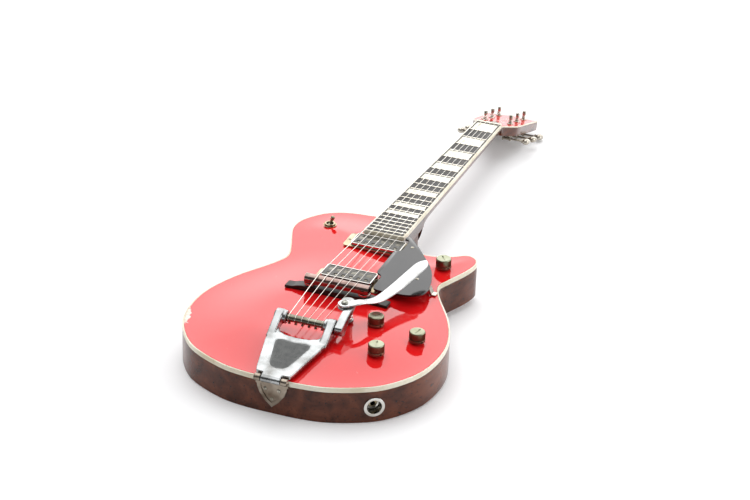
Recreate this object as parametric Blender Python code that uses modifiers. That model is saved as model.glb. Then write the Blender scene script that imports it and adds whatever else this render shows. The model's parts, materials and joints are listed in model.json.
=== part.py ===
"""Electric guitar with a single cutaway, an arched top and a rocking vibrato tailpiece.

The guitar lies on its back.  +X points to the treble side, +Y to the headstock, +Z up from the back.
The origin is on the flat back, on the centre line, straight under the bridge end of the scale.
Sizes below are in millimetres; MM turns them into metres.
"""
import bpy
import bmesh
from math import atan2, cos, degrees, pi, radians, sin
from mathutils import Matrix, Vector

MM = 0.001

# ---- driving dimensions -------------------------------------------------------------------------
SCALE_LENGTH = 625.0
FRET_COUNT = 22
RIM_HEIGHT = 48.4
BINDING_HEIGHT = 6.5
BINDING_WIDTH = 2.2
ARCH_RISE = 8.6
ARCH_RUN = 95.0
GAP = 0.3

NECK_ANGLE = radians(3.2)
NECK_PLANE_HEIGHT = 76.25
BOARD_THICKNESS = 5.5
BOARD_START = 166.0
BOARD_HALF_AT_NUT = 20.65
BOARD_HALF_AT_LAST_FRET = 28.85
BOARD_BINDING = 2.0
NECK_DEPTH_AT_NUT = 15.0
NECK_DEPTH_AT_HEEL = 20.0
BODY_NECK_END = 245.0

HEAD_ANGLE = radians(14.0)
HEAD_START = 631.0
HEAD_DROP = 3.5
HEAD_THICKNESS = 15.0
VENEER_THICKNESS = 1.8
POST_PLACES = (46.0, 85.0, 124.0)
POST_X = 20.5
POST_RADIUS = 3.0
GEAR_RADIUS = 6.0
GEAR_LEVEL = -21.5
WORM_RADIUS = 2.6
WORM_OFFSET = 9.0

NUT_TOP = 0.7
NUT_SPREAD = 17.5
BRIDGE_SPREAD = 26.5
BAR_SPREAD = 22.0
STRING_RADII = (0.6, 0.47, 0.37, 0.3, 0.25, 0.2)

BRIDGE_Y = -3.0
BRIDGE_TOP = 80.0
BRIDGE_BAR_BOTTOM = 69.0
BRIDGE_BAR_HALF = 44.0
BRIDGE_BAR_WIDTH = 13.0
STUD_X = 37.0
STUD_RADIUS = 2.4

PICKUP_LENGTH = 70.0
PICKUP_WIDTH = 31.0
PICKUPS = {"neck": (147.0, 62.8), "bridge": (38.0, 68.8)}

HINGE_Y = -217.6
HINGE_Z = 50.0
BAR_Y = -108.0
BAR_Z = 73.5
BAR_RADIUS = 4.8
HUB_RADIUS = 9.5
BOSS_RADIUS = 8.5
BOSS_INNER = 24.7
ARM_INNER = 29.5
ARM_OUTER = 39.5
PIVOT = (38.5, -77.0)
ROCKER_TOP = 88.0
SPRING = (37.0, -62.0)

KNOBS = {"volume_neck_knob": (72.3, -54.8), "volume_bridge_knob": (130.6, -64.6),
         "tone_knob": (96.6, -118.1), "master_knob": (96.2, 134.9)}
KNOB_RADIUS = 10.5
KNOB_HEIGHT = 13.5
SWITCH = (-85.0, 184.7)
SWITCH_LEAN = radians(18.0)

# ---- scene and collections ----------------------------------------------------------------------
for old in list(bpy.data.objects):
    bpy.data.objects.remove(old, do_unlink=True)

parts = bpy.data.collections.new("electric_guitar")
tools = bpy.data.collections.new("cutters")
bpy.context.scene.collection.children.link(parts)
bpy.context.scene.collection.children.link(tools)


def finish(name, colour, roughness, metallic=0.0):
    """One Principled material."""
    material = bpy.data.materials.new(name)
    material.use_nodes = True
    shader = material.node_tree.nodes["Principled BSDF"]
    shader.inputs["Base Color"].default_value = (*colour, 1.0)
    shader.inputs["Roughness"].default_value = roughness
    shader.inputs["Metallic"].default_value = metallic
    return material


RED = ("red_lacquer", (0.72, 0.02, 0.03), 0.12)
BROWN = ("brown_mahogany", (0.09, 0.035, 0.022), 0.3)
CREAM = ("cream_binding", (0.85, 0.8, 0.66), 0.35)
EBONY = ("ebony", (0.03, 0.025, 0.022), 0.35)
BLACK = ("black_plastic", (0.01, 0.01, 0.012), 0.15)
CHROME = ("chrome_plate", (0.8, 0.8, 0.8), 0.1, 1.0)
CAST = ("cast_aluminium", (0.78, 0.79, 0.8), 0.25, 1.0)
NICKEL = ("aged_nickel", (0.55, 0.5, 0.4), 0.3, 1.0)
STEEL = ("steel", (0.6, 0.6, 0.6), 0.25, 1.0)
BONE = ("bone", (0.85, 0.83, 0.75), 0.4)


def place(name, mesh, look, at=(0, 0, 0), parent=None, turn=None):
    """Link a mesh as a part, or as a cutter when it has no look, at a place in millimetres."""
    obj = bpy.data.objects.new(name, mesh)
    obj.location = Vector(at) * MM
    if turn is not None:
        obj.rotation_euler = turn
    obj.parent = parent
    if look is None:
        tools.objects.link(obj)
        obj.hide_render = True
        obj.display_type = "WIRE"
        return obj
    parts.objects.link(obj)
    mesh.materials.clear()
    mesh.materials.append(finish(name + "_" + look[0], *look[1:]))
    mesh.shade_smooth()
    mesh.set_sharp_from_angle(angle=radians(35))
    return obj


def empty(name, at, turn=(0, 0, 0), parent=None):
    """A frame that pieces are placed in."""
    obj = bpy.data.objects.new(name, None)
    obj.location = Vector(at) * MM
    obj.rotation_euler = turn
    obj.parent = parent
    tools.objects.link(obj)
    return obj


def boolean(target, tool, operation="DIFFERENCE"):
    """Cut, join or intersect a piece with a tool."""
    modifier = target.modifiers.new(tool.name, "BOOLEAN")
    modifier.operation = operation
    modifier.object = tool
    modifier.solver = "EXACT"


# ---- shapes --------------------------------------------------------------------------------------
def flat_mesh(outlines, low, high):
    """A plate between two levels: the first outline is its edge and the others are holes."""
    curve = bpy.data.curves.new("outline", "CURVE")
    curve.dimensions = "2D"
    curve.fill_mode = "BOTH"
    curve.extrude = (high - low) / 2 * MM
    for outline in outlines:
        spline = curve.splines.new("POLY")
        spline.points.add(len(outline) - 1)
        for point, (x, y) in zip(spline.points, outline):
            point.co = (x * MM, y * MM, 0.0, 1.0)
        spline.use_cyclic_u = True
    guide = bpy.data.objects.new("outline", curve)
    tools.objects.link(guide)
    graph = bpy.context.evaluated_depsgraph_get()
    mesh = bpy.data.meshes.new_from_object(guide.evaluated_get(graph))
    bpy.data.objects.remove(guide)
    shape = bmesh.new()
    shape.from_mesh(mesh)
    bmesh.ops.remove_doubles(shape, verts=shape.verts, dist=0.000001)
    bmesh.ops.translate(shape, verts=shape.verts, vec=(0, 0, (low + high) / 2 * MM))
    bmesh.ops.recalc_face_normals(shape, faces=shape.faces)
    shape.to_mesh(mesh)
    shape.free()
    return mesh


def plate(name, outlines, low, high, look=None, **where):
    return place(name, flat_mesh(outlines, low, high), look, **where)


def side_plate(name, outline, left, right, look=None, **where):
    """A plate cut in the Y-Z plane, from left to right along X."""
    mesh = flat_mesh([outline], left, right)
    mesh.transform(Matrix(((0, 0, 1, 0), (1, 0, 0, 0), (0, 1, 0, 0), (0, 0, 0, 1))))
    return place(name, mesh, look, **where)


def box(name, low, high, look=None, **where):
    """A block between two corners."""
    shape = bmesh.new()
    bmesh.ops.create_cube(shape, size=1.0)
    size = [(b - a) * MM for a, b in zip(low, high)]
    bmesh.ops.scale(shape, verts=shape.verts, vec=size)
    middle = [(a + b) / 2 * MM for a, b in zip(low, high)]
    bmesh.ops.translate(shape, verts=shape.verts, vec=middle)
    mesh = bpy.data.meshes.new(name)
    shape.to_mesh(mesh)
    shape.free()
    return place(name, mesh, look, **where)


def turned(name, profile, look=None, sides=32, axis="Z", **where):
    """A turned piece: the profile (radius, height) starts and ends on the axis or is a closed ring."""
    closed = profile[0][0] > 0
    mesh = bpy.data.meshes.new(name)
    points = [(r * MM, 0.0, z * MM) for r, z in profile]
    edges = [(i, i + 1) for i in range(len(points) - 1)]
    if closed:
        edges.append((len(points) - 1, 0))
    mesh.from_pydata(points, edges, [])
    guide = bpy.data.objects.new("profile", mesh)
    tools.objects.link(guide)
    screw = guide.modifiers.new("turn", "SCREW")
    screw.steps = sides
    screw.render_steps = sides
    screw.use_merge_vertices = True
    screw.merge_threshold = 0.000001
    graph = bpy.context.evaluated_depsgraph_get()
    solid = bpy.data.meshes.new_from_object(guide.evaluated_get(graph))
    bpy.data.objects.remove(guide)
    shape = bmesh.new()
    shape.from_mesh(solid)
    bmesh.ops.remove_doubles(shape, verts=shape.verts, dist=0.000001)
    bmesh.ops.recalc_face_normals(shape, faces=shape.faces)
    shape.to_mesh(solid)
    shape.free()
    if axis == "X":
        solid.transform(Matrix.Rotation(radians(90), 4, "Y"))
    return place(name, solid, look, **where)


def rod(name, radius, low, high, look=None, sides=24, **where):
    """A plain round bar along its axis."""
    return turned(name, [(0, high), (radius, high), (radius, low), (0, low)], look, sides, **where)


def ring(name, outer, inner, low, high, look=None, sides=32, **where):
    """A round washer or tube."""
    profile = [(outer, high), (outer, low), (inner, low), (inner, high)]
    return turned(name, profile, look, sides, **where)


def loft(name, rings, look=None, **where):
    """A solid through closed rings of points, flat at both ends."""
    shape = bmesh.new()
    rows = [[shape.verts.new(Vector(point) * MM) for point in row] for row in rings]
    count = len(rings[0])
    for row, following in zip(rows, rows[1:]):
        for i in range(count):
            j = (i + 1) % count
            shape.faces.new((row[i], row[j], following[j], following[i]))
    shape.faces.new(list(reversed(rows[0])))
    shape.faces.new(rows[-1])
    bmesh.ops.recalc_face_normals(shape, faces=shape.faces)
    mesh = bpy.data.meshes.new(name)
    shape.to_mesh(mesh)
    shape.free()
    return place(name, mesh, look, **where)


def wire(name, points, radius, look, **where):
    """A round wire along points, with closed ends."""
    curve = bpy.data.curves.new(name, "CURVE")
    curve.dimensions = "3D"
    curve.bevel_depth = radius * MM
    curve.bevel_resolution = 2
    curve.use_fill_caps = True
    spline = curve.splines.new("POLY")
    spline.points.add(len(points) - 1)
    for point, place_at in zip(spline.points, points):
        point.co = (*(Vector(place_at) * MM), 1.0)
    guide = bpy.data.objects.new(name + "_guide", curve)
    tools.objects.link(guide)
    graph = bpy.context.evaluated_depsgraph_get()
    mesh = bpy.data.meshes.new_from_object(guide.evaluated_get(graph))
    bpy.data.objects.remove(guide)
    shape = bmesh.new()
    shape.from_mesh(mesh)
    bmesh.ops.remove_doubles(shape, verts=shape.verts, dist=0.000001)
    bmesh.ops.recalc_face_normals(shape, faces=shape.faces)
    shape.to_mesh(mesh)
    shape.free()
    return place(name, mesh, look, **where)


def smooth_loop(points, steps=2):
    """A closed Catmull-Rom curve through the points."""
    count = len(points)
    loop = []
    for i in range(count):
        a, b, c, d = [Vector(points[(i + k) % count]) for k in (-1, 0, 1, 2)]
        for step in range(steps):
            t = step / steps
            spot = 2 * b + (c - a) * t + (2 * a - 5 * b + 4 * c - d) * t * t
            spot += (3 * b - a - 3 * c + d) * t ** 3
            loop.append((spot.x / 2, spot.y / 2))
    return loop


def inset(loop, distance):
    """Move a counter-clockwise loop inwards by a distance."""
    moved = []
    count = len(loop)
    for i in range(count):
        before, here, after = [Vector(loop[(i + k) % count]) for k in (-1, 0, 1)]
        first = (here - before).normalized()
        second = (after - here).normalized()
        normal = Vector((-first.y - second.y, first.x + second.x)).normalized()
        share = max(0.5, normal.dot(Vector((-first.y, first.x))))
        spot = here + normal * (distance / share)
        moved.append((spot.x, spot.y))
    return moved


def rounded(width, depth, radius, centre=(0, 0), corner_steps=3):
    """A rectangle with round corners."""
    loop = []
    for quarter, (sx, sy) in enumerate(((1, 1), (-1, 1), (-1, -1), (1, -1))):
        for step in range(corner_steps + 1):
            angle = pi / 2 * (quarter + step / corner_steps)
            x = centre[0] + sx * (width / 2 - radius) + radius * cos(angle)
            y = centre[1] + sy * (depth / 2 - radius) + radius * sin(angle)
            loop.append((x, y))
    return loop


def arc(centre, radius, start, end, steps):
    """Points on a circle from one angle to another, in degrees."""
    angles = [radians(start + (end - start) * i / steps) for i in range(steps + 1)]
    return [(centre[0] + radius * cos(a), centre[1] + radius * sin(a)) for a in angles]


def circle(centre, radius, steps=24):
    return arc(centre, radius, 0, 360 - 360 / steps, steps - 1)


# ---- body ----------------------------------------------------------------------------------------
lower_bout = [(35, -211.6), (70, -205.5), (110, -187.5), (134, -168), (154.5, -138), (165, -107),
              (168.4, -69), (162.6, -31), (145.5, 12), (117, 61)]
treble_bout = [(107.5, 88), (113.5, 108), (126.6, 140), (132.2, 164), (129, 178), (120, 185.5),
               (110, 185), (98, 177), (86, 170), (74, 166), (60, 164.6), (46, 167), (36.5, 174),
               (30.5, 185), (27.6, 199), (26.7, 213), (26.0, 228), (24.6, 238), (19, 244), (8, 246)]
bass_bout = [(-8, 246), (-24, 245.6), (-46, 244.5), (-69, 242), (-90, 236), (-109, 224), (-125, 203),
             (-131.8, 187), (-133, 169), (-129, 152), (-116, 118), (-107.5, 88)]
outline_points = [(0, -212.3)] + lower_bout + treble_bout + bass_bout
outline_points += [(-x, y) for x, y in reversed(lower_bout)]
body_outline = smooth_loop(outline_points)


def edge_distance(x, y):
    """Distance from a point to the body outline."""
    best = 1e9
    here = Vector((x, y))
    for start, end in zip(body_outline, body_outline[1:] + body_outline[:1]):
        first = Vector(start)
        along = Vector(end) - first
        share = max(0.0, min(1.0, (here - first).dot(along) / along.length_squared))
        best = min(best, (here - first - along * share).length)
    return best


def arch_height(x, y):
    """Height of the arched top: level at the binding, then a smooth rise to the flat centre."""
    t = min(1.0, edge_distance(x, y) / ARCH_RUN)
    return RIM_HEIGHT + ARCH_RISE * t * t * (3 - 2 * t)


def height_over(x, y, reach):
    """Highest point of the top within a reach of a spot."""
    around = [(x + reach * cos(k * pi / 4), y + reach * sin(k * pi / 4)) for k in range(8)]
    return max(arch_height(u, v) for u, v in around + [(x, y)])


def board_half(y):
    """Half width of the bound fingerboard at a distance from the bridge end of the scale."""
    last_fret = SCALE_LENGTH / 2 ** (FRET_COUNT / 12)
    slope = (BOARD_HALF_AT_LAST_FRET - BOARD_HALF_AT_NUT) / (SCALE_LENGTH - last_fret)
    return BOARD_HALF_AT_NUT + slope * (SCALE_LENGTH - y)


def neck_strip(start, end, change):
    """Outline of a strip as wide as the fingerboard plus a change on each side."""
    first = board_half(start) + change
    last = board_half(end) + change
    return [(-first, start), (first, start), (last, end), (-last, end)]


core_top = RIM_HEIGHT - BINDING_HEIGHT
core = plate("body_core", [body_outline], 0, core_top, BROWN)
treble_chamber = smooth_loop([(56, -150), (92, -166), (130, -136), (148, -95), (148, -50), (128, -5),
                              (104, 35), (93, 75), (95, 105), (112, 130), (117, 158), (95, 164),
                              (72, 146), (60, 115), (57, 60), (57, -40), (57, -100)])
bass_chamber = smooth_loop([(-56, -150), (-56, -100), (-56, -40), (-56, 60), (-53, 130), (-53, 195),
                            (-66, 222), (-95, 212), (-112, 180), (-106, 140), (-93, 105), (-92, 75),
                            (-104, 35), (-128, -5), (-148, -50), (-148, -95), (-130, -136),
                            (-92, -166)])
CHAMBER_FLOOR = 8.0
boolean(core, plate("chamber_cut_treble", [treble_chamber], CHAMBER_FLOOR, RIM_HEIGHT))
boolean(core, plate("chamber_cut_bass", [bass_chamber], CHAMBER_FLOOR, RIM_HEIGHT))

control_cover_outline = rounded(96, 74, 14, (101, -90))
switch_cover_outline = circle((-84, 178), 24)
COVER_RECESS = 2.6
COVER_LIP = 5.0
for label, cover in (("control", control_cover_outline), ("switch", switch_cover_outline)):
    boolean(core, plate(label + "_cover_recess", [cover], -1, COVER_RECESS))
    window = inset(cover, COVER_LIP)
    boolean(core, plate(label + "_cover_window", [window], -1, CHAMBER_FLOOR + 1))
    plate(label + "_cover", [inset(cover, GAP)], GAP, COVER_RECESS - GAP, BLACK)

neck_frame = empty("neck_frame", (0, 0, NECK_PLANE_HEIGHT), (-NECK_ANGLE, 0, 0))
TENON_HALF = 19.0
TENON_START = 172.0
TENON_BOTTOM = 10.0
boolean(core, box("neck_pocket_cut", (-TENON_HALF - GAP, TENON_START - 4, TENON_BOTTOM - GAP),
                  (TENON_HALF + GAP, 262, RIM_HEIGHT)))
for label, (y, _) in PICKUPS.items():
    boolean(core, box(label + "_pickup_pocket", (-38, y - 19, CHAMBER_FLOOR), (38, y + 19, 60)))

# The jack sits in the side wall, in its own frame with +Z pointing out of the wall.
JACK_NEAR = Vector((120, -180))
JACK_SHARE = 0.7
JACK_LEVEL = 21.0
JACK_RADIUS = 10.5


def far_from_jack(number):
    return (Vector(body_outline[number]) - JACK_NEAR).length


nearest = min(range(len(body_outline)), key=far_from_jack)
wall_start = Vector(body_outline[nearest - 1])
wall_run = Vector(body_outline[nearest]) - wall_start
jack_heading = atan2(wall_run.y, wall_run.x)
jack_spot = wall_start + wall_run * JACK_SHARE
jack_frame = empty("jack_frame", (*jack_spot, JACK_LEVEL), (pi / 2, 0, jack_heading))
boolean(core, rod("jack_cut", JACK_RADIUS + 0.4, -45, 12, sides=32, parent=jack_frame))

band = plate("body_binding", [body_outline, inset(body_outline, BINDING_WIDTH)],
             core_top + GAP, RIM_HEIGHT, CREAM)

# The arched top is a height field trimmed to the outline inside the binding.
GRID_X = 25
GRID_Y = 33
field = bmesh.new()
bmesh.ops.create_grid(field, x_segments=GRID_X, y_segments=GRID_Y, size=0.5)
for vert in field.verts:
    x = vert.co.x * 352
    y = vert.co.y * 476 + 16
    vert.co = (x * MM, y * MM, arch_height(x, y) * MM)
base = bmesh.ops.extrude_face_region(field, geom=field.faces[:])
for vert in base["geom"]:
    if isinstance(vert, bmesh.types.BMVert):
        vert.co.z = 20 * MM
bmesh.ops.recalc_face_normals(field, faces=field.faces)
field_mesh = bpy.data.meshes.new("arch_field")
field.to_mesh(field_mesh)
field.free()
arch_tool = place("arch_field", field_mesh, None)

top = plate("body_top", [inset(body_outline, BINDING_WIDTH + GAP)], core_top + GAP, 70, RED)
boolean(top, arch_tool, "INTERSECT")
slot = plate("neck_slot_cut", [neck_strip(BOARD_START - 1, 262, GAP)], core_top - 1, 80)
boolean(top, slot)
boolean(band, slot)
HOUSING_CLEAR = 0.4
for label, (y, _) in PICKUPS.items():
    hole = rounded(PICKUP_LENGTH + 2 * HOUSING_CLEAR, PICKUP_WIDTH + 2 * HOUSING_CLEAR, 3, (0, y), 2)
    boolean(top, plate(label + "_pickup_hole", [hole], 30, 80))
BUSH_RADIUS = 4.6
for label, spot in KNOBS.items():
    boolean(top, rod(label + "_hole", BUSH_RADIUS + GAP, 30, 70, sides=16, at=(*spot, 0)))
SWITCH_BUSH = 6.0
boolean(top, rod("switch_hole", SWITCH_BUSH + GAP, 30, 70, sides=20, at=(*SWITCH, 0)))

# ---- neck and headstock ------------------------------------------------------------------------
ARC_STEPS = 8
board_bottom = -BOARD_THICKNESS - GAP


def neck_ring(y, depth, squareness):
    """A neck cross-section: flat on top and rounded below."""
    half = board_half(y)
    row = []
    for i in range(ARC_STEPS + 1):
        angle = pi * i / ARC_STEPS
        drop = depth * sin(angle) ** squareness
        row.append((half * cos(angle), y, board_bottom - drop))
    return row


neck_rows = [neck_ring(HEAD_START + 1, NECK_DEPTH_AT_NUT, 0.8), neck_ring(560, NECK_DEPTH_AT_NUT, 0.8),
             neck_ring(300, NECK_DEPTH_AT_HEEL - 1, 0.8), neck_ring(278, NECK_DEPTH_AT_HEEL + 1, 0.8),
             neck_ring(268, 25, 0.85), neck_ring(260, 33, 0.9), neck_ring(254.5, 44, 0.9),
             neck_ring(252.8, 52, 0.9)]
neck = loft("neck", neck_rows, BROWN, parent=neck_frame)
boolean(neck, box("tenon", (-TENON_HALF, TENON_START, -50), (TENON_HALF, 254, board_bottom - 1),
                  parent=neck_frame), "UNION")
shoulder_level = core_top + GAP
shoulder = plate("board_shoulder", [neck_strip(BOARD_START + 1, 254, -0.2)], -40, board_bottom,
                 parent=neck_frame)
boolean(shoulder, box("shoulder_trim", (-60, 100, -20), (60, 300, shoulder_level)))
boolean(neck, shoulder, "UNION")

head_frame = empty("head_frame", (0, HEAD_START, -HEAD_DROP), (-HEAD_ANGLE, 0, 0), neck_frame)
half_head = [(20.4, 2), (21.5, 7), (25.5, 15), (31.5, 24), (36, 33), (37.5, 45), (38, 70), (38.8, 105),
             (40.5, 138), (30, 138.5), (20, 141.5), (10, 147), (0, 149)]
head_outline = half_head + [(-x, y) for x, y in reversed(half_head[:-1])]
wood_top = -VENEER_THICKNESS - GAP
headstock = plate("headstock_blank", [[(20.2, 0.4), (-20.2, 0.4)] + head_outline[::-1]],
                  -HEAD_THICKNESS, wood_top, parent=head_frame)
boolean(neck, headstock, "UNION")
boolean(neck, box("headstock_root", (-19, -14, -HEAD_THICKNESS + 0.5), (19, 10, -6.6),
                  parent=head_frame), "UNION")
veneer = plate("headstock_face", [head_outline], -VENEER_THICKNESS, 0, RED, parent=head_frame)
for side in (-1, 1):
    for number, s in enumerate(POST_PLACES):
        drill = rod("post_hole_%d_%d" % (side, number), POST_RADIUS + 0.4, -40, 10, sides=14,
                    at=(side * POST_X, s, 0), parent=head_frame)
        boolean(neck, drill)
        boolean(veneer, drill)

# The truss rod lies in a groove under the fingerboard and is reached behind the nut.
ROD_RADIUS = 2.5
ROD_LEVEL = board_bottom - ROD_RADIUS - 1.0
groove = box("truss_groove", (-3, 190, ROD_LEVEL - 3), (3, HEAD_START + 14, board_bottom + 2),
             parent=neck_frame)
boolean(neck, groove)
boolean(veneer, groove)
rod("truss_rod", ROD_RADIUS, 192, HEAD_START + 12, STEEL, 16,
      at=(0, 0, ROD_LEVEL), parent=neck_frame, turn=(-pi / 2, 0, 0))

board = plate("fingerboard", [neck_strip(BOARD_START + BOARD_BINDING + GAP, SCALE_LENGTH,
                                         -BOARD_BINDING - GAP)],
              -BOARD_THICKNESS, 0, EBONY, parent=neck_frame)
outer_edge = neck_strip(BOARD_START, SCALE_LENGTH, 0)
inner_edge = neck_strip(BOARD_START + BOARD_BINDING, SCALE_LENGTH, -BOARD_BINDING)
trim = [outer_edge[3], outer_edge[0], outer_edge[1], outer_edge[2],
        inner_edge[2], inner_edge[1], inner_edge[0], inner_edge[3]]
plate("fingerboard_binding", [trim], -BOARD_THICKNESS, 0, CREAM, parent=neck_frame)
FRET_HEIGHT = 1.0
FRET_HALF_WIDTH = 1.2
for fret in range(1, FRET_COUNT + 1):
    y = SCALE_LENGTH / 2 ** (fret / 12)
    half = board_half(y) - BOARD_BINDING - 1.0
    shape = [(y - FRET_HALF_WIDTH, -0.8), (y + FRET_HALF_WIDTH, -0.8), (y + 0.7, FRET_HEIGHT),
             (y - 0.7, FRET_HEIGHT)]
    boolean(board, side_plate("fret_%d" % fret, shape, -half, half, parent=neck_frame), "UNION")

box("nut", (-BOARD_HALF_AT_NUT, SCALE_LENGTH + GAP, board_bottom + GAP),
    (BOARD_HALF_AT_NUT, SCALE_LENGTH + 5, NUT_TOP), BONE, parent=neck_frame)

# ---- tuners --------------------------------------------------------------------------------------
string_names = ("low_e", "a", "d", "g", "b", "high_e")
PLATE_LEVEL = -HEAD_THICKNESS - GAP
for side, label in ((-1, "bass"), (1, "treble")):
    strip = rounded(15, 102, 3, (side * (POST_X + 0.5), POST_PLACES[1] - 3), 2)
    holes = [circle((side * POST_X, s), POST_RADIUS + 0.4, 12) for s in POST_PLACES]
    plate("tuner_plate_" + label, [strip] + holes, PLATE_LEVEL - 1.5, PLATE_LEVEL, NICKEL,
          parent=head_frame)


def tuner_spot(number):
    """Side of the headstock and post distance of one tuner, counted like the strings."""
    if number < 3:
        return -1, POST_PLACES[number]
    return 1, POST_PLACES[5 - number]


for number, label in enumerate(string_names):
    side, s = tuner_spot(number)
    post = [(0, 14), (2.2, 14), (POST_RADIUS, 13), (POST_RADIUS, 9), (2.4, 7.5), (2.4, 4.5),
            (POST_RADIUS, 3), (POST_RADIUS, GEAR_LEVEL + 2), (GEAR_RADIUS, GEAR_LEVEL + 2),
            (GEAR_RADIUS, GEAR_LEVEL - 2), (0, GEAR_LEVEL - 2)]
    turned("tuner_post_" + label, post, NICKEL, 12, at=(side * POST_X, s, 0), parent=head_frame)
    shaft = [(0, 14), (WORM_RADIUS, 14), (WORM_RADIUS, 26), (1.5, 26.3), (1.5, 45), (4, 46),
             (4.2, 48.5), (0, 48.5)]
    key = turned("tuner_key_" + label, shaft[::-1], NICKEL, 10,
                 at=(0, s - WORM_OFFSET, GEAR_LEVEL), parent=head_frame,
                 turn=(0, side * pi / 2, 0))
    paddle = loft("paddle_" + label, [[(a * 6.2 * cos(t), a * 9.0 * sin(t), z)
                                       for t in [2 * pi * i / 12 for i in range(12)]]
                                      for a, z in ((0.35, 47), (0.85, 50), (1.0, 53), (0.85, 56),
                                                   (0.35, 58.5))],
                  at=(0, s - WORM_OFFSET, GEAR_LEVEL), parent=head_frame,
                  turn=(0, side * pi / 2, 0))
    boolean(key, paddle, "UNION")

# ---- strings -------------------------------------------------------------------------------------
to_neck = Matrix.Translation((0, 0, NECK_PLANE_HEIGHT)) @ Matrix.Rotation(-NECK_ANGLE, 4, "X")
to_head = to_neck @ Matrix.Translation((0, HEAD_START, -HEAD_DROP))
to_head = to_head @ Matrix.Rotation(-HEAD_ANGLE, 4, "X")
for number, (label, radius) in enumerate(zip(string_names, STRING_RADII)):
    spread = (number - 2.5) / 2.5
    side, s = tuner_spot(number)
    lift = radius + GAP
    post_end = to_head @ Vector((side * (POST_X - 2.4 - lift), s, 6.0))
    nut_back = to_neck @ Vector((spread * NUT_SPREAD, SCALE_LENGTH + 5.3, NUT_TOP + lift))
    nut_front = to_neck @ Vector((spread * NUT_SPREAD, SCALE_LENGTH, NUT_TOP + lift))
    saddle = Vector((spread * BRIDGE_SPREAD, BRIDGE_Y, BRIDGE_TOP + lift))
    bar_top = Vector((spread * BAR_SPREAD, BAR_Y, BAR_Z + BAR_RADIUS + lift))
    wire("string_" + label, [post_end, nut_back, nut_front, saddle, bar_top], radius, STEEL)

# ---- pickups -------------------------------------------------------------------------------------
FLANGE_LEVEL = RIM_HEIGHT + ARCH_RISE + GAP
FLANGE_THICKNESS = 1.4
FLANGE_LENGTH = 90.0
FLANGE_WIDTH = 37.0
WALL = 1.8
for label, (y, height) in PICKUPS.items():
    inner = rounded(PICKUP_LENGTH - 2 * WALL, PICKUP_WIDTH - 2 * WALL, 2, (0, y), 2)
    housing = plate(label + "_pickup_housing",
                    [rounded(PICKUP_LENGTH, PICKUP_WIDTH, 3.5, (0, y)), inner],
                    core_top + 2, height, CHROME)
    collar = plate(label + "_flange", [rounded(FLANGE_LENGTH, FLANGE_WIDTH, 4, (0, y)), inner],
                   FLANGE_LEVEL, FLANGE_LEVEL + FLANGE_THICKNESS)
    boolean(housing, collar, "UNION")
    coil = rounded(PICKUP_LENGTH - 2 * WALL - 2 * GAP, PICKUP_WIDTH - 2 * WALL - 2 * GAP, 2, (0, y), 2)
    plate(label + "_pickup_coil", [coil], core_top - 4, height - 0.7, BLACK)

# ---- bridge --------------------------------------------------------------------------------------
foot = [(x, height_over(x, BRIDGE_Y, 8) + GAP) for x in (-70, -45, -20, 0, 20, 45, 70)]
crown = [(70, 60), (60, 60.8), (53, 63.2), (47, 64.2), (-47, 64.2), (-53, 63.2), (-60, 60.8), (-70, 60)]
bridge_base = plate("bridge_base", [foot + crown], -7.0, 7.0, EBONY, at=(0, BRIDGE_Y, 0),
                    turn=(pi / 2, 0, 0))
half_width = BRIDGE_BAR_WIDTH / 2
dome = arc((BRIDGE_Y, BRIDGE_TOP - half_width), half_width, 0, 180, 10)
bar_shape = [(BRIDGE_Y - half_width, BRIDGE_BAR_BOTTOM), (BRIDGE_Y + half_width, BRIDGE_BAR_BOTTOM)]
bridge_bar = side_plate("bridge_bar", bar_shape + dome, -BRIDGE_BAR_HALF, BRIDGE_BAR_HALF, CHROME)
WHEEL_LOW = 66.0
WHEEL_HIGH = 68.6
for side, label in ((-1, "bass"), (1, "treble")):
    stud = rod("stud_" + label, STUD_RADIUS, 60, 76, sides=16, at=(side * STUD_X, BRIDGE_Y, 0))
    boolean(bridge_base, stud, "UNION")
    socket = rod("stud_socket_" + label, STUD_RADIUS + GAP, 60, 77.3, sides=16,
                 at=(side * STUD_X, BRIDGE_Y, 0))
    boolean(bridge_bar, socket)
    ring("bridge_wheel_" + label, 8.0, STUD_RADIUS + GAP, WHEEL_LOW, WHEEL_HIGH, NICKEL, 24,
         at=(side * STUD_X, BRIDGE_Y, 0))

# ---- pickguard -----------------------------------------------------------------------------------
guard_points = [(39.5, 18), (53, 16.2), (70.4, 17.6), (86, 18.6), (98, 24), (104.6, 33), (106.4, 48),
                (102.6, 69), (95.3, 90), (84.7, 110), (73.3, 125.5), (62, 141), (50, 157),
                (40, 169.5), (34, 173.5), (31, 170), (30.6, 164.5), (39, 164), (39, 129),
                (29.5, 128.5), (29, 60), (39, 57)]
GUARD_LOW = 63.0
GUARD_HIGH = 65.6
plate("pickguard", [guard_points], GUARD_LOW, GUARD_HIGH, BLACK)
BRACKET_Y = 63.0
bracket_skin = arch_height(104, BRACKET_Y) + GAP
bracket_path = [(88, GUARD_LOW - GAP), (101, GUARD_LOW - GAP), (106.5, bracket_skin + 1.8),
                (112, bracket_skin + 1.8), (112, bracket_skin), (104.5, bracket_skin),
                (99.5, GUARD_LOW - GAP - 2), (88, GUARD_LOW - GAP - 2)]
plate("pickguard_bracket", [bracket_path], -4.5, 4.5, NICKEL, at=(0, BRACKET_Y, 0),
      turn=(pi / 2, 0, 0))

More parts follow.
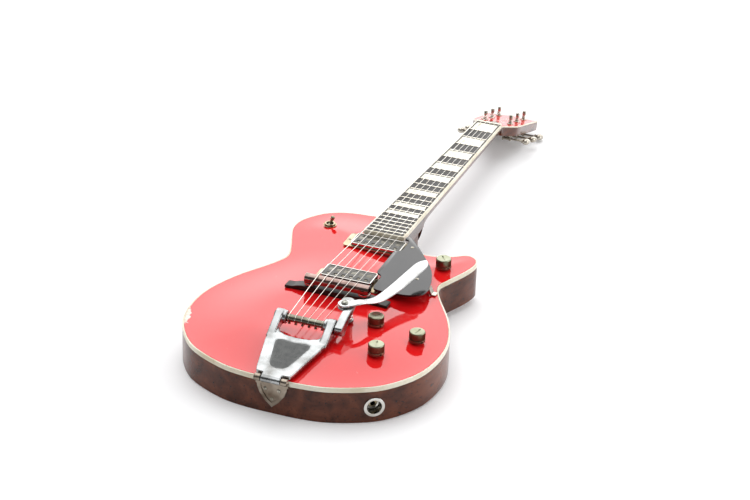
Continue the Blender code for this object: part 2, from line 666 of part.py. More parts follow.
# ---- vibrato tailpiece ---------------------------------------------------------------------------
KNUCKLE_RADIUS = 4.6
KNUCKLE_OUTER = 21.5
KNUCKLE_SPLIT = 13.0
shield_points = [(-20, 46), (20, 46), (19.5, 36), (16, 27), (9, 17.5), (0, 9.5), (-9, 17.5), (-16, 27),
                 (-19.5, 36)]
bracket = plate("tail_bracket", [shield_points], 0, 2.4, CAST, at=(0, -212.3 - GAP, 0),
                turn=(pi / 2, 0, 0))
for side in (-1, 1):
    near, far = sorted((side * (KNUCKLE_SPLIT + GAP), side * KNUCKLE_OUTER))
    knuckle = rod("knuckle_%d" % side, KNUCKLE_RADIUS, near, far, sides=20, axis="X",
                  at=(0, HINGE_Y, HINGE_Z))
    boolean(bracket, knuckle, "UNION")
    web = box("knuckle_web_%d" % side, (near, -214.9, 40), (far, -213.0, HINGE_Z))
    boolean(bracket, web, "UNION")
PIN_RADIUS = 1.8
boolean(bracket, rod("hinge_pin", PIN_RADIUS, -22.5, 22.5, sides=16, axis="X",
                     at=(0, HINGE_Y, HINGE_Z)), "UNION")

SLOPE = radians(7.0)
slope_frame = empty("slope_frame", (0, HINGE_Y, HINGE_Z), (SLOPE, 0, 0))
FRAME_THICKNESS = 5.5
half_frame = [(12.4, 0), (12.4, 5.8), (22, 6.4), (24.5, 14), (31, 44), (36.5, 68),
              (ARM_OUTER - 0.3, 92), (ARM_OUTER - 0.3, 99), (ARM_INNER + 0.3, 99), (28.5, 93), (24, 87),
              (15, 83.5), (0, 82)]
frame_outline = half_frame + [(-x, y) for x, y in reversed(half_frame[:-1])]
vibrato_frame = plate("vibrato_frame", [frame_outline], 0, FRAME_THICKNESS, CAST, parent=slope_frame)
barrel = ring("frame_barrel", KNUCKLE_RADIUS, PIN_RADIUS + GAP, -12.7, 12.7, sides=20, axis="X",
              parent=slope_frame)
boolean(vibrato_frame, rod("barrel_clear", KNUCKLE_RADIUS - 1, -12.8, 12.8, sides=20, axis="X",
                           parent=slope_frame))
boolean(vibrato_frame, barrel, "UNION")
reach = Vector((BAR_Y - HINGE_Y, BAR_Z - HINGE_Z))
hub_y = reach.x * cos(SLOPE) + reach.y * sin(SLOPE)
hub_z = reach.y * cos(SLOPE) - reach.x * sin(SLOPE)
for side in (-1, 1):
    near, far = sorted((side * ARM_INNER, side * ARM_OUTER))
    arm_side = arc((hub_y, hub_z), HUB_RADIUS, -75, 110, 12)
    arm_side += [(80, FRAME_THICKNESS - 0.4), (76, 4), (76, 0.7)]
    arm = side_plate("frame_arm_%d" % side, arm_side, near, far, parent=slope_frame)
    boolean(vibrato_frame, arm, "UNION")
    near, far = sorted((side * BOSS_INNER, side * (ARM_INNER + 1)))
    boss = rod("boss_%d" % side, BOSS_RADIUS, near, far, sides=24, axis="X", at=(0, BAR_Y, BAR_Z))
    boolean(vibrato_frame, boss, "UNION")
bearing = rod("bearings", BAR_RADIUS + GAP, -ARM_OUTER - 1, ARM_OUTER + 1, sides=20, axis="X",
              at=(0, BAR_Y, BAR_Z))
boolean(vibrato_frame, bearing)
SEAT_LOW = 58.6
SEAT_HIGH = 62.0
boolean(vibrato_frame, box("foot_root", (32.3, -111, SEAT_LOW + 0.6), (38.7, -103, 67)), "UNION")
spring_foot = box("spring_foot", (33.0, -109, SEAT_LOW + 0.3), (38.2, SPRING[1], SEAT_HIGH - 0.4))
boolean(vibrato_frame, spring_foot, "UNION")
boolean(vibrato_frame, rod("spring_seat", 8.0, SEAT_LOW, SEAT_HIGH, sides=20, at=(*SPRING, 0)), "UNION")
panel_half = [(0, 17), (8, 18.5), (13.5, 25), (23.5, 66), (22.5, 73), (16, 75), (0, 73)]
panel = panel_half + [(-x, y) for x, y in reversed(panel_half[1:-1])]
boolean(vibrato_frame, plate("panel_recess", [panel], FRAME_THICKNESS - 0.9, FRAME_THICKNESS + 2,
                             parent=slope_frame))

# The string bar turns in the two hubs; the rocker on its treble end carries the handle.
string_bar = rod("string_bar", BAR_RADIUS, -41.5, 49.0, STEEL, 20, axis="X", at=(0, BAR_Y, BAR_Z))
for number in range(6):
    x = (number - 2.5) / 2.5 * BAR_SPREAD
    peg = rod("peg_%d" % number, 1.0, 3.5, 7.5, sides=8, at=(x, BAR_Y, BAR_Z), turn=(radians(150), 0, 0))
    boolean(string_bar, peg, "UNION")
ROCKER_LEFT = 40.2
ROCKER_RIGHT = 50.5
ROCKER_PLATE = 3.5
plate_low = ROCKER_TOP - ROCKER_PLATE
web_side = arc((0, 0), HUB_RADIUS, 150, 330, 12)
web_side += [(18, plate_low - BAR_Z - 8), (39, plate_low - BAR_Z), (39, ROCKER_TOP - BAR_Z),
             (22, ROCKER_TOP - BAR_Z), (6, 10)]
rocker = side_plate("rocker", web_side, ROCKER_LEFT, ROCKER_RIGHT, CAST, at=(0, BAR_Y, BAR_Z))
LOBE_RADIUS = 8.8
heading = degrees(atan2(SPRING[1] - PIVOT[1], SPRING[0] - PIVOT[0]))
lobe = arc(SPRING, LOBE_RADIUS, heading - 90, heading + 90, 10)
lobe += arc(PIVOT, LOBE_RADIUS, heading + 90, heading + 270, 10)
boolean(rocker, plate("rocker_plate", [lobe], plate_low, ROCKER_TOP), "UNION")
boolean(rocker, rod("rocker_bore", BAR_RADIUS + GAP, ROCKER_LEFT - 1, 49.5, sides=20, axis="X",
                    at=(0, BAR_Y, BAR_Z)))
BOLT_RADIUS = 2.6
boolean(rocker, rod("bolt_bore", BOLT_RADIUS + GAP, 80, 95, sides=16, at=(*PIVOT, 0)))

# The spring is one tube-shaped solid here: the outer shape of its coils.
ring("vibrato_spring", 6.8, 4.4, SEAT_HIGH + GAP, plate_low - GAP, STEEL, 24, at=(*SPRING, 0))

# ---- vibrato arm ---------------------------------------------------------------------------------
ARM_THICKNESS = 3.2
arm_level = ROCKER_TOP + 1.0
arm_path = [(0, 0, 0, 7.0), (6, 3, 0, 6.8), (11.5, 8, 0, 6.5), (17, 16, -1.2, 6.4), (22, 25.5, -4.5, 6.5),
            (27.5, 37, -7, 7.0), (32, 50, -8, 7.7), (38, 77, -8, 8.6), (44, 107, -6.2, 9.0),
            (49.5, 135, -4, 9.0), (52, 148, -3, 7.5), (53, 154, -2.6, 4.0)]
ARM_SECTION = ((-1, 0.25), (-0.8, 1), (0.8, 1), (1, 0.25), (0.8, 0), (-0.8, 0))
arm_rows = []
for index, (x, y, lift, half) in enumerate(arm_path):
    ahead = arm_path[min(index + 1, len(arm_path) - 1)]
    behind = arm_path[max(index - 1, 0)]
    along = Vector((ahead[0] - behind[0], ahead[1] - behind[1], 0)).normalized()
    across = Vector((along.y, -along.x, 0))
    middle = Vector((x, y, arm_level + lift))
    arm_rows.append([middle + across * (half * u) + Vector((0, 0, ARM_THICKNESS * v))
                     for u, v in ARM_SECTION])
arm = loft("vibrato_arm", arm_rows, CAST, at=(*PIVOT, 0))
arm_top = arm_level + ARM_THICKNESS
EYE_RADIUS = 8.6
eye = rod("arm_eye", EYE_RADIUS, arm_level, arm_top, sides=28, at=(*PIVOT, 0))
boolean(arm, eye, "UNION")
boolean(arm, rod("arm_bore", BOLT_RADIUS + GAP, 80, 99, sides=16, at=(*PIVOT, 0)))
turned("arm_bolt", [(0, arm_top + 3.2), (2.6, arm_top + 2.7), (4.6, arm_top + GAP + 0.4),
                    (4.6, arm_top + GAP), (BOLT_RADIUS, arm_top + GAP), (BOLT_RADIUS, plate_low - 3),
                    (0, plate_low - 3)], STEEL, 20, at=(*PIVOT, 0))

# ---- controls ------------------------------------------------------------------------------------
SHAFT_RADIUS = 3.0
for label, (x, y) in KNOBS.items():
    skin = height_over(x, y, KNOB_RADIUS)
    low = skin + 1.0
    high = low + KNOB_HEIGHT
    knob = [(0, high), (6, high - 0.3), (9.3, high - 1.0), (KNOB_RADIUS - 0.3, high - 2.2),
            (KNOB_RADIUS, low), (SHAFT_RADIUS, low), (SHAFT_RADIUS, skin - 16), (0, skin - 16)]
    turned(label, knob, NICKEL, 24, at=(x, y, 0))
    under = core_top + GAP
    can = [(SHAFT_RADIUS + GAP, skin + 0.6), (BUSH_RADIUS, skin + 0.6), (BUSH_RADIUS, under - GAP),
           (12, under - GAP), (12, under - 11), (SHAFT_RADIUS + GAP, under - 11)]
    turned(label.replace("_knob", "_pot"), can, STEEL, 16, at=(x, y, 0))

switch_skin = height_over(*SWITCH, 9.0)
switch_rings = [(9.0, switch_skin + 1.8), (9.0, switch_skin + GAP), (SWITCH_BUSH, switch_skin + GAP),
                (SWITCH_BUSH, core_top - GAP), (11, core_top - GAP), (11, core_top - 22),
                (5.0, core_top - 22), (5.0, switch_skin + 1.8)]
turned("switch_body", switch_rings, NICKEL, 20, at=(*SWITCH, 0))
bat = [(0, 15), (2.2, 14.5), (3.0, 12.8), (2.9, 10.5), (1.6, 6.5), (1.5, 2.4), (3.0, 1.2), (3.3, -0.5),
       (2.4, -2.4), (1.5, -3), (1.5, -9), (0, -9)]
turned("switch_lever", bat, NICKEL, 16, at=(*SWITCH, switch_skin), turn=(0, SWITCH_LEAN, 0))

cup = [(13.0, 1.6), (13.0, GAP), (JACK_RADIUS, GAP), (JACK_RADIUS, -13), (5.2, -13), (5.2, -11.6),
       (9.2, -11.6), (9.2, 1.6)]
turned("jack_cup", cup, CHROME, 24, parent=jack_frame)
turned("jack_socket", [(4.8, -8.2), (4.8, -13.3), (7.5, -13.3), (7.5, -26), (3.2, -26), (3.2, -8.2)],
       NICKEL, 20, parent=jack_frame)
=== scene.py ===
"""Looks of a single-cutaway electric guitar, built piece by piece round its fixed CAD frame.

Sizes are in millimetres until a mesh is finished, when MM turns them into metres.
+X is the treble side, +Y the headstock end and +Z up from the flat back.
"""
import json
from math import cos, pi, radians, sin

import bmesh
import bpy
import numpy as np
from mathutils import Matrix, Vector

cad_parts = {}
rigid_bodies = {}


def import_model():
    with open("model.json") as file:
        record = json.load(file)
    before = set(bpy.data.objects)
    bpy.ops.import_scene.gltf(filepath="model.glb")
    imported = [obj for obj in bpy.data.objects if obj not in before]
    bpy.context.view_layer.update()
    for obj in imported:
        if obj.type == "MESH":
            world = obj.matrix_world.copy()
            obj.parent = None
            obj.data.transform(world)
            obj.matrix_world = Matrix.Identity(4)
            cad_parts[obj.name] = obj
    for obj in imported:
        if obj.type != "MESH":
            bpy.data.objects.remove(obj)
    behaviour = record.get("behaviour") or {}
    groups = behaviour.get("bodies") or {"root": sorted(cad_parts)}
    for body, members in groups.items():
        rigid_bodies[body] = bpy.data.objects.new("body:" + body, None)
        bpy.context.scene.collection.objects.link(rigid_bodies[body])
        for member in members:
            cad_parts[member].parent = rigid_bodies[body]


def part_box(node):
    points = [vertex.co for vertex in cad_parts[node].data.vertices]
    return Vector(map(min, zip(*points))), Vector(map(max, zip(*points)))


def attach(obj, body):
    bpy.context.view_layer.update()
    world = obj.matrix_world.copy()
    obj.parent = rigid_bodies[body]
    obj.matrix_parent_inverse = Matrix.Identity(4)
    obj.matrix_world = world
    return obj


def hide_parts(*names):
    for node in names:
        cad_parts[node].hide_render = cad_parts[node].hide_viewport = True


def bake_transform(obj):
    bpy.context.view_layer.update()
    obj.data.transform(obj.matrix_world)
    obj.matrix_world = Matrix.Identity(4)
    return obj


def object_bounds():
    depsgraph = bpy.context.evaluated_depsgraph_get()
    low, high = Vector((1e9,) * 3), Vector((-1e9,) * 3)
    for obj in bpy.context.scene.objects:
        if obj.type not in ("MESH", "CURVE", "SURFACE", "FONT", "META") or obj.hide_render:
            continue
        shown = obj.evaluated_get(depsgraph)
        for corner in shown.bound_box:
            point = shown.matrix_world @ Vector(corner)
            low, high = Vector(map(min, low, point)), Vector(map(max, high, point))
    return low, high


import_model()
cad_low, cad_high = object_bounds()
MM = 0.001
scene = bpy.context.scene

# ---- camera, floor and light ---------------------------------------------------------------------
# The guitar lies on its back on a white studio floor, resting on its tail edge and its tuners.  A wide
# white screen stands past the headstock and is mirrored in the lacquer; a second one hangs overhead.
eye = Vector((0.8426, -2.2091, 1.3567))
to_the_right = Vector((0.9348, 0.3537, 0.0315))
upwards = Vector((-0.1900, 0.4231, 0.8859))
backwards = to_the_right.cross(upwards)
camera_data = bpy.data.cameras.new("camera")
camera_data.sensor_width = 36.0
camera_data.lens = 101.2
camera_data.clip_start = 0.05
camera_data.clip_end = 60.0
camera = bpy.data.objects.new("camera", camera_data)
turn = Matrix((to_the_right, upwards, backwards)).transposed()
camera.matrix_world = Matrix.Translation(eye) @ turn.to_4x4()
scene.collection.objects.link(camera)
scene.camera = camera
scene.view_settings.view_transform = "Standard"

FLOOR_HALF = 9.0
tail_contact = Vector((0.0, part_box("body_core")[0].y, -0.0002))
head_contact = Vector((0.0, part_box("tuner_key_g")[1].y, cad_low.z - 0.0003))
floor_run = (head_contact - tail_contact).normalized()
floor_data = bpy.data.meshes.new("floor")
corners = [(x * FLOOR_HALF, y * FLOOR_HALF) for x, y in ((-1, -1), (1, -1), (1, 1), (-1, 1))]
floor_data.from_pydata([tail_contact + Vector((x, 0, 0)) + floor_run * y for x, y in corners], [],
                       [(0, 1, 2, 3)])
floor = bpy.data.objects.new("floor", floor_data)
scene.collection.objects.link(floor)
floor_paint = bpy.data.materials.new("white_floor")
floor_paint.use_nodes = True
floor_shader = floor_paint.node_tree.nodes["Principled BSDF"]
floor_shader.inputs["Base Color"].default_value = (0.86, 0.86, 0.87, 1)
floor_shader.inputs["Emission Color"].default_value = (1, 1, 1, 1)
floor_shader.inputs["Emission Strength"].default_value = 0.16
floor_shader.inputs["Roughness"].default_value = 0.9
floor_shader.inputs["Specular IOR Level"].default_value = 0.1
floor_data.materials.append(floor_paint)


def screen(name, width, depth, brightness, centre, aim):
    """A soft rectangular lamp, given by the brightness of its face."""
    lamp = bpy.data.lights.new(name, "AREA")
    lamp.shape = "RECTANGLE"
    lamp.size = width
    lamp.size_y = depth
    lamp.energy = brightness * pi * width * depth
    holder = bpy.data.objects.new(name, lamp)
    holder.location = centre
    holder.rotation_mode = "QUATERNION"
    holder.rotation_quaternion = (Vector(aim) - Vector(centre)).to_track_quat("-Z", "Y")
    holder.visible_camera = False
    scene.collection.objects.link(holder)


screen("far_screen", 10.0, 5.4, 1.80, (-1.2, 4.6, 2.75), (0, 0, 0))
screen("top_screen", 4.0, 3.0, 1.9, (-0.8, 0.2, 3.4), (0, 0, 0))
screen("right_screen", 3.0, 2.4, 3.0, (4.0, 0.9, 1.5), (0, 0, 0))
world = bpy.data.worlds.new("studio")
world.use_nodes = True
scene.world = world
room = world.node_tree
room_light = room.nodes["Background"]
seen = room.nodes.new("ShaderNodeBackground")
room_light.inputs["Color"].default_value = (1, 1, 1, 1)
heading = room.nodes.new("ShaderNodeTexCoord")
split = room.nodes.new("ShaderNodeSeparateXYZ")
dim_front = room.nodes.new("ShaderNodeMapRange")
dim_front.inputs["From Min"].default_value = -0.9
dim_front.inputs["From Max"].default_value = 0.5
dim_front.inputs["To Min"].default_value = 0.07
dim_front.inputs["To Max"].default_value = 0.62
room.links.new(heading.outputs["Generated"], split.inputs["Vector"])
room.links.new(split.outputs["Y"], dim_front.inputs["Value"])
room.links.new(dim_front.outputs["Result"], room_light.inputs["Strength"])
seen.inputs["Strength"].default_value = 1.05
seen.inputs["Color"].default_value = (1, 1, 1, 1)
path = room.nodes.new("ShaderNodeLightPath")
choose = room.nodes.new("ShaderNodeMixShader")
room.links.new(path.outputs["Is Camera Ray"], choose.inputs["Fac"])
room.links.new(room_light.outputs["Background"], choose.inputs[1])
room.links.new(seen.outputs["Background"], choose.inputs[2])
room.links.new(choose.outputs["Shader"], room.nodes["World Output"].inputs["Surface"])

# ---- body: back and sides ------------------------------------------------------------------------
# One block of mahogany, hollowed into two chambers from above and sprayed with clear brown lacquer.
# Its back edge is rounded over, and the back has two recesses for the cover plates.
RIM = 48.4
CORE_TOP = 41.9


def set_finish(name, colour, roughness, metallic=0.0, ior=1.5, coat=0.0):
    """A named Principled finish and its node tree."""
    finish = bpy.data.materials.new(name)
    finish.use_nodes = True
    tree = finish.node_tree
    shader = tree.nodes["Principled BSDF"]
    shader.inputs["Base Color"].default_value = (*colour, 1)
    shader.inputs["Roughness"].default_value = roughness
    shader.inputs["Metallic"].default_value = metallic
    shader.inputs["IOR"].default_value = ior
    shader.inputs["Coat Weight"].default_value = coat
    return finish, tree, shader


def where(tree, stretch=(1, 1, 1), centre=(0, 0, 0), turned_by=0.0):
    """Place on the object, measured from a centre in a turned frame and divided by a stretch in metres."""
    spot = tree.nodes.new("ShaderNodeTexCoord")
    mapping = tree.nodes.new("ShaderNodeMapping")
    mapping.vector_type = "TEXTURE"
    mapping.inputs["Location"].default_value = centre
    mapping.inputs["Rotation"].default_value = (0, 0, turned_by)
    mapping.inputs["Scale"].default_value = stretch
    tree.links.new(spot.outputs["Object"], mapping.inputs["Vector"])
    return mapping.outputs["Vector"]


def mottle(tree, vector, scale=1.0, detail=4.0, distortion=0.0):
    """Soft random patches from 0 to 1."""
    noise = tree.nodes.new("ShaderNodeTexNoise")
    noise.inputs["Scale"].default_value = scale
    noise.inputs["Detail"].default_value = detail
    noise.inputs["Distortion"].default_value = distortion
    tree.links.new(vector, noise.inputs["Vector"])
    return noise.outputs["Fac"]


def shades(tree, factor, stops):
    """Colours along a factor: stops are (place, colour)."""
    ramp = tree.nodes.new("ShaderNodeValToRGB")
    while len(ramp.color_ramp.elements) < len(stops):
        ramp.color_ramp.elements.new(0.5)
    for element, (place, colour) in zip(ramp.color_ramp.elements, stops):
        element.position = place
        element.color = (*colour, 1)
    tree.links.new(factor, ramp.inputs["Fac"])
    return ramp.outputs["Color"]


def mask(tree, factor, start, end):
    """0 below start and 1 above end, or the other way round."""
    step = tree.nodes.new("ShaderNodeMapRange")
    step.inputs["From Min"].default_value = start
    step.inputs["From Max"].default_value = end
    tree.links.new(factor, step.inputs["Value"])
    return step.outputs["Result"]


def between(tree, factor, low, high):
    """A value from low to high as the factor goes from 0 to 1."""
    step = tree.nodes.new("ShaderNodeMapRange")
    step.inputs["To Min"].default_value = low
    step.inputs["To Max"].default_value = high
    tree.links.new(factor, step.inputs["Value"])
    return step.outputs["Result"]


def blend_colour(tree, factor, first, second, how="MIX"):
    """Mix two colours, each a colour or a socket."""
    mix = tree.nodes.new("ShaderNodeMix")
    mix.data_type = "RGBA"
    mix.blend_type = how
    tree.links.new(factor, mix.inputs[0])
    for socket, value in ((mix.inputs[6], first), (mix.inputs[7], second)):
        if isinstance(value, tuple):
            socket.default_value = (*value, 1)
        else:
            tree.links.new(value, socket)
    return mix.outputs[2]


def sum_of(tree, first, second, how="ADD", share=1.0):
    """First plus share times second, or another sum."""
    scaled = tree.nodes.new("ShaderNodeMath")
    scaled.operation = "MULTIPLY"
    scaled.inputs[1].default_value = share
    tree.links.new(second, scaled.inputs[0])
    total = tree.nodes.new("ShaderNodeMath")
    total.operation = how
    tree.links.new(first, total.inputs[0])
    tree.links.new(scaled.outputs[0], total.inputs[1])
    return total.outputs[0]


def relief(tree, shader, height, depth_mm, strength=1.0):
    """Small surface relief from a height of 0 to 1."""
    bump = tree.nodes.new("ShaderNodeBump")
    bump.inputs["Strength"].default_value = strength
    bump.inputs["Distance"].default_value = depth_mm * MM
    tree.links.new(height, bump.inputs["Height"])
    tree.links.new(bump.outputs["Normal"], shader.inputs["Normal"])


def mahogany(name, stretch):
    """Brown-stained mahogany under clear lacquer, with its grain and pores along the longest stretch."""
    finish, tree, shader = set_finish(name, (0.05, 0.022, 0.015), 0.2, ior=1.33, coat=0.07)
    shader.inputs["Coat Roughness"].default_value = 0.08
    shader.inputs["Coat IOR"].default_value = 1.4
    grain = mottle(tree, where(tree, stretch), 1.0, 6.0, 0.6)
    tone = shades(tree, grain, [(0.3, (0.044, 0.0110, 0.0050)), (0.5, (0.100, 0.0260, 0.0115)),
                                (0.72, (0.170, 0.048, 0.0210))])
    pores = mask(tree, mottle(tree, where(tree, [s * 0.12 for s in stretch]), 1.0, 2.0), 0.62, 0.7)
    tone = blend_colour(tree, pores, tone, (0.012, 0.006, 0.005))
    tree.links.new(tone, shader.inputs["Base Color"])
    wear = mottle(tree, where(tree), 38.0, 5.0)
    tree.links.new(between(tree, wear, 0.1, 0.34), shader.inputs["Roughness"])
    relief(tree, shader, pores, -0.03, 0.4)
    return finish


def smooth_loop(points, steps):
    """A closed curve through the points."""
    count = len(points)
    loop = []
    for i in range(count):
        a, b, c, d = [Vector(points[(i + k) % count]) for k in (-1, 0, 1, 2)]
        for step in range(steps):
            t = step / steps
            spot = 2 * b + (c - a) * t + (2 * a - 5 * b + 4 * c - d) * t * t
            spot += (3 * b - a - 3 * c + d) * t ** 3
            loop.append((spot.x / 2, spot.y / 2))
    return loop


def inset(loop, distance):
    """Move a counter-clockwise loop inwards."""
    moved = []
    count = len(loop)
    for i in range(count):
        before, here, after = [Vector(loop[(i + k) % count]) for k in (-1, 0, 1)]
        first = (here - before).normalized()
        second = (after - here).normalized()
        normal = Vector((-first.y - second.y, first.x + second.x)).normalized()
        share = max(0.5, normal.dot(Vector((-first.y, first.x))))
        spot = here + normal * (distance / share)
        moved.append((spot.x, spot.y))
    return moved


def round_box(width, depth, radius, centre=(0, 0), steps=6):
    """A rectangle with round corners."""
    loop = []
    for quarter, (sx, sy) in enumerate(((1, 1), (-1, 1), (-1, -1), (1, -1))):
        for step in range(steps + 1):
            angle = pi / 2 * (quarter + step / steps)
            loop.append((centre[0] + sx * (width / 2 - radius) + radius * cos(angle),
                         centre[1] + sy * (depth / 2 - radius) + radius * sin(angle)))
    return loop


def ring_of(radius, steps, centre=(0, 0)):
    """A circle as a loop."""
    return [(centre[0] + radius * cos(2 * pi * i / steps), centre[1] + radius * sin(2 * pi * i / steps))
            for i in range(steps)]


def prism(loop, low, high, edge=0.0, steps=3, rims=("low", "high")):
    """A plate with an outline, with its edges rounded over by a radius."""
    shape = bmesh.new()
    under = [shape.verts.new((x, y, low)) for x, y in loop]
    over = [shape.verts.new((x, y, high)) for x, y in loop]
    shape.faces.new(under[::-1])
    shape.faces.new(over)
    count = len(loop)
    for i in range(count):
        j = (i + 1) % count
        shape.faces.new((under[i], under[j], over[j], over[i]))
    if edge:
        levels = {"low": low, "high": high}
        wanted = [levels[rim] for rim in rims]
        soft = [e for e in shape.edges
                if any(all(abs(v.co.z - level) < 1e-4 for v in e.verts) for level in wanted)]
        bmesh.ops.bevel(shape, geom=soft, offset=edge, segments=steps, profile=0.5, affect="EDGES",
                        clamp_overlap=True)
    return shape


def turned(profile, sides=48):
    """A round piece from (radius, height) points, on the axis at both ends or a closed ring."""
    shape = bmesh.new()
    rows = []
    for radius, height in profile:
        if radius == 0:
            rows.append([shape.verts.new((0, 0, height))] * sides)
        else:
            rows.append([shape.verts.new((radius * cos(2 * pi * i / sides), radius * sin(2 * pi * i / sides),
                                          height)) for i in range(sides)])
    following = rows[1:] + (rows[:1] if profile[0][0] > 0 else [])
    for row, after in zip(rows, following):
        for i in range(sides):
            j = (i + 1) % sides
            corners = []
            for vert in (row[i], row[j], after[j], after[i]):
                if vert not in corners:
                    corners.append(vert)
            shape.faces.new(corners)
    return shape


def eased(points, radius, steps=3, closed=False):
    """Round the corners of a line of points."""
    count = len(points)
    soft = []
    for i, point in enumerate(points):
        if not closed and i in (0, count - 1):
            soft.append(tuple(point))
            continue
        here = Vector(point)
        before = Vector(points[i - 1]) - here
        after = Vector(points[(i + 1) % count]) - here
        start = here + before * min(0.45, radius / before.length)
        end = here + after * min(0.45, radius / after.length)
        for step in range(steps + 1):
            t = step / steps
            spot = start * (1 - t) ** 2 + here * 2 * t * (1 - t) + end * t * t
            soft.append(tuple(spot))
    return soft


def piece(name, shape, finish, place=None, sharp=40):
    """Make a finished object from a shape in millimetres, set in its place in the mesh itself."""
    if place is not None:
        bmesh.ops.transform(shape, matrix=place, verts=shape.verts)
    bmesh.ops.scale(shape, vec=(MM, MM, MM), verts=shape.verts)
    bmesh.ops.remove_doubles(shape, verts=shape.verts, dist=1e-7)
    bmesh.ops.recalc_face_normals(shape, faces=shape.faces)
    mesh = bpy.data.meshes.new(name)
    shape.to_mesh(mesh)
    shape.free()
    if finish is not None:
        mesh.materials.append(finish)
    made = bpy.data.objects.new(name, mesh)
    scene.collection.objects.link(made)
    shade(made, sharp)
    return made


def shade(made, sharp=40):
    """Smooth shading with crisp edges past an angle."""
    made.data.shade_smooth()
    made.data.set_sharp_from_angle(angle=radians(sharp))


def settle(made, sharp=40):
    """Turn an object's modifiers into its plain mesh."""
    graph = bpy.context.evaluated_depsgraph_get()
    mesh = bpy.data.meshes.new_from_object(made.evaluated_get(graph))
    made.modifiers.clear()
    made.data = mesh
    shade(made, sharp)


def carve(made, tools, how="DIFFERENCE", sharp=40):
    """Cut away, or join on, one tool after another."""
    for tool in tools:
        modifier = made.modifiers.new("carve", "BOOLEAN")
        modifier.operation = how
        modifier.solver = "EXACT"
        modifier.object = tool
    settle(made, sharp)
    for tool in tools:
        bpy.data.objects.remove(tool)


lower_bout = [(35, -211.6), (70, -205.5), (110, -187.5), (134, -168), (154.5, -138), (165, -107),
              (168.4, -69), (162.6, -31), (145.5, 12), (117, 61)]
treble_bout = [(107.5, 88), (113.5, 108), (126.6, 140), (132.2, 164), (129, 178), (120, 185.5),
               (110, 185), (98, 177), (86, 170), (74, 166), (60, 164.6), (46, 167), (36.5, 174),
               (30.5, 185), (27.6, 199), (26.7, 213), (26.0, 228), (24.6, 238), (19, 244), (8, 246)]
bass_bout = [(-8, 246), (-24, 245.6), (-46, 244.5), (-69, 242), (-90, 236), (-109, 224), (-125, 203),
             (-131.8, 187), (-133, 169), (-129, 152), (-116, 118), (-107.5, 88)]
outline_points = [(0, -212.3)] + lower_bout + treble_bout + bass_bout
outline_points += [(-x, y) for x, y in reversed(lower_bout)]
TRIM = 0.9993
body_outline = [(x * TRIM, y) for x, y in smooth_loop(outline_points, 9)]

treble_chamber = [(56, -150), (92, -166), (130, -136), (148, -95), (148, -50), (128, -5), (104, 35),
                  (93, 75), (95, 105), (112, 130), (117, 158), (95, 164), (72, 146), (60, 115),
                  (57, 60), (57, -40), (57, -100)]
bass_chamber = [(-56, -150), (-56, -100), (-56, -40), (-56, 60), (-53, 130), (-53, 195), (-66, 222),
                (-95, 212), (-112, 180), (-106, 140), (-93, 105), (-92, 75), (-104, 35), (-128, -5),
                (-148, -50), (-148, -95), (-130, -136), (-92, -166)]
CHAMBER_FLOOR = 8.0
COVER_RECESS = 2.6
PICKUPS = {"neck": (147.0, 62.8), "bridge": (38.0, 68.8)}
control_cover_loop = round_box(96, 74, 14, (101, -90), 8)
switch_cover_loop = ring_of(24, 64, (-84, 178))
side_wood = mahogany("brown_body", (0.02, 0.2, 0.02))
body_back = piece("body_back", prism(body_outline, 0, CORE_TOP, 2.2, 4, rims=("low",)), side_wood)
JACK_CENTRE = Vector((119.253, -181.2, 21.0))
JACK_OUT = Vector((0.5628, -0.8266, 0.0))
jack_place = Matrix.Translation(JACK_CENTRE) @ JACK_OUT.to_track_quat("Z", "Y").to_matrix().to_4x4()
hollows = [piece("cut", prism(smooth_loop(treble_chamber, 3), CHAMBER_FLOOR, 60), None),
           piece("cut", prism(smooth_loop(bass_chamber, 3), CHAMBER_FLOOR, 60), None),
           piece("cut", prism([(-19.3, 168), (19.3, 168), (19.3, 262), (-19.3, 262)], 9.7, 60), None),
           piece("cut", turned([(0, 12), (10.9, 12), (10.9, -45), (0, -45)], 48), None, jack_place)]
for y, _ in PICKUPS.values():
    hollows.append(piece("cut", prism([(-38, y - 19), (38, y - 19), (38, y + 19), (-38, y + 19)],
                                      CHAMBER_FLOOR, 60), None))
for loop in (control_cover_loop, switch_cover_loop):
    hollows.append(piece("cut", prism(loop, -2, COVER_RECESS), None))
    hollows.append(piece("cut", prism(inset(loop, 5.0), -3, CHAMBER_FLOOR + 1), None))
carve(body_back, hollows)
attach(body_back, "root")
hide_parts("body_core")

# ---- body: arched top ----------------------------------------------------------------------------
# A laminated maple top, pressed to an arch that rises from the rim to a flat centre, and sprayed with
# thick red lacquer.  Along the bass edge the lacquer has chipped down to its cream undercoat.
ARCH_RISE = 8.6
ARCH_RUN = 95.0
BINDING_WIDTH = 2.2
TOP_EDGE = BINDING_WIDTH + 0.15
TILE = 4.0

lacquer, tree, shader = set_finish("red_lacquer", (0.5, 0.01, 0.012), 0.05, ior=1.64)
patches = mottle(tree, where(tree), 7.0, 3.0)
red = shades(tree, patches, [(0.35, (0.72, 0.0085, 0.0105)), (0.65, (0.80, 0.0115, 0.0135))])
chip_spot = where(tree, (0.0062, 0.026, 0.05), (-0.1598, -0.1165, 0.045), radians(16))
far = tree.nodes.new("ShaderNodeVectorMath")
far.operation = "LENGTH"
tree.links.new(chip_spot, far.inputs[0])
ragged = sum_of(tree, far.outputs["Value"], mottle(tree, where(tree), 260.0, 5.0), share=1.5)
chip = mask(tree, ragged, 1.62, 1.56)
specks = mask(tree, mottle(tree, where(tree), 520.0, 2.0), 0.79, 0.81)
chip_all = sum_of(tree, chip, specks, "MAXIMUM")
undercoat = shades(tree, mottle(tree, where(tree), 300.0, 4.0),
                   [(0.4, (0.80, 0.66, 0.55)), (0.6, (0.93, 0.84, 0.76))])
tree.links.new(blend_colour(tree, chip_all, red, undercoat), shader.inputs["Base Color"])
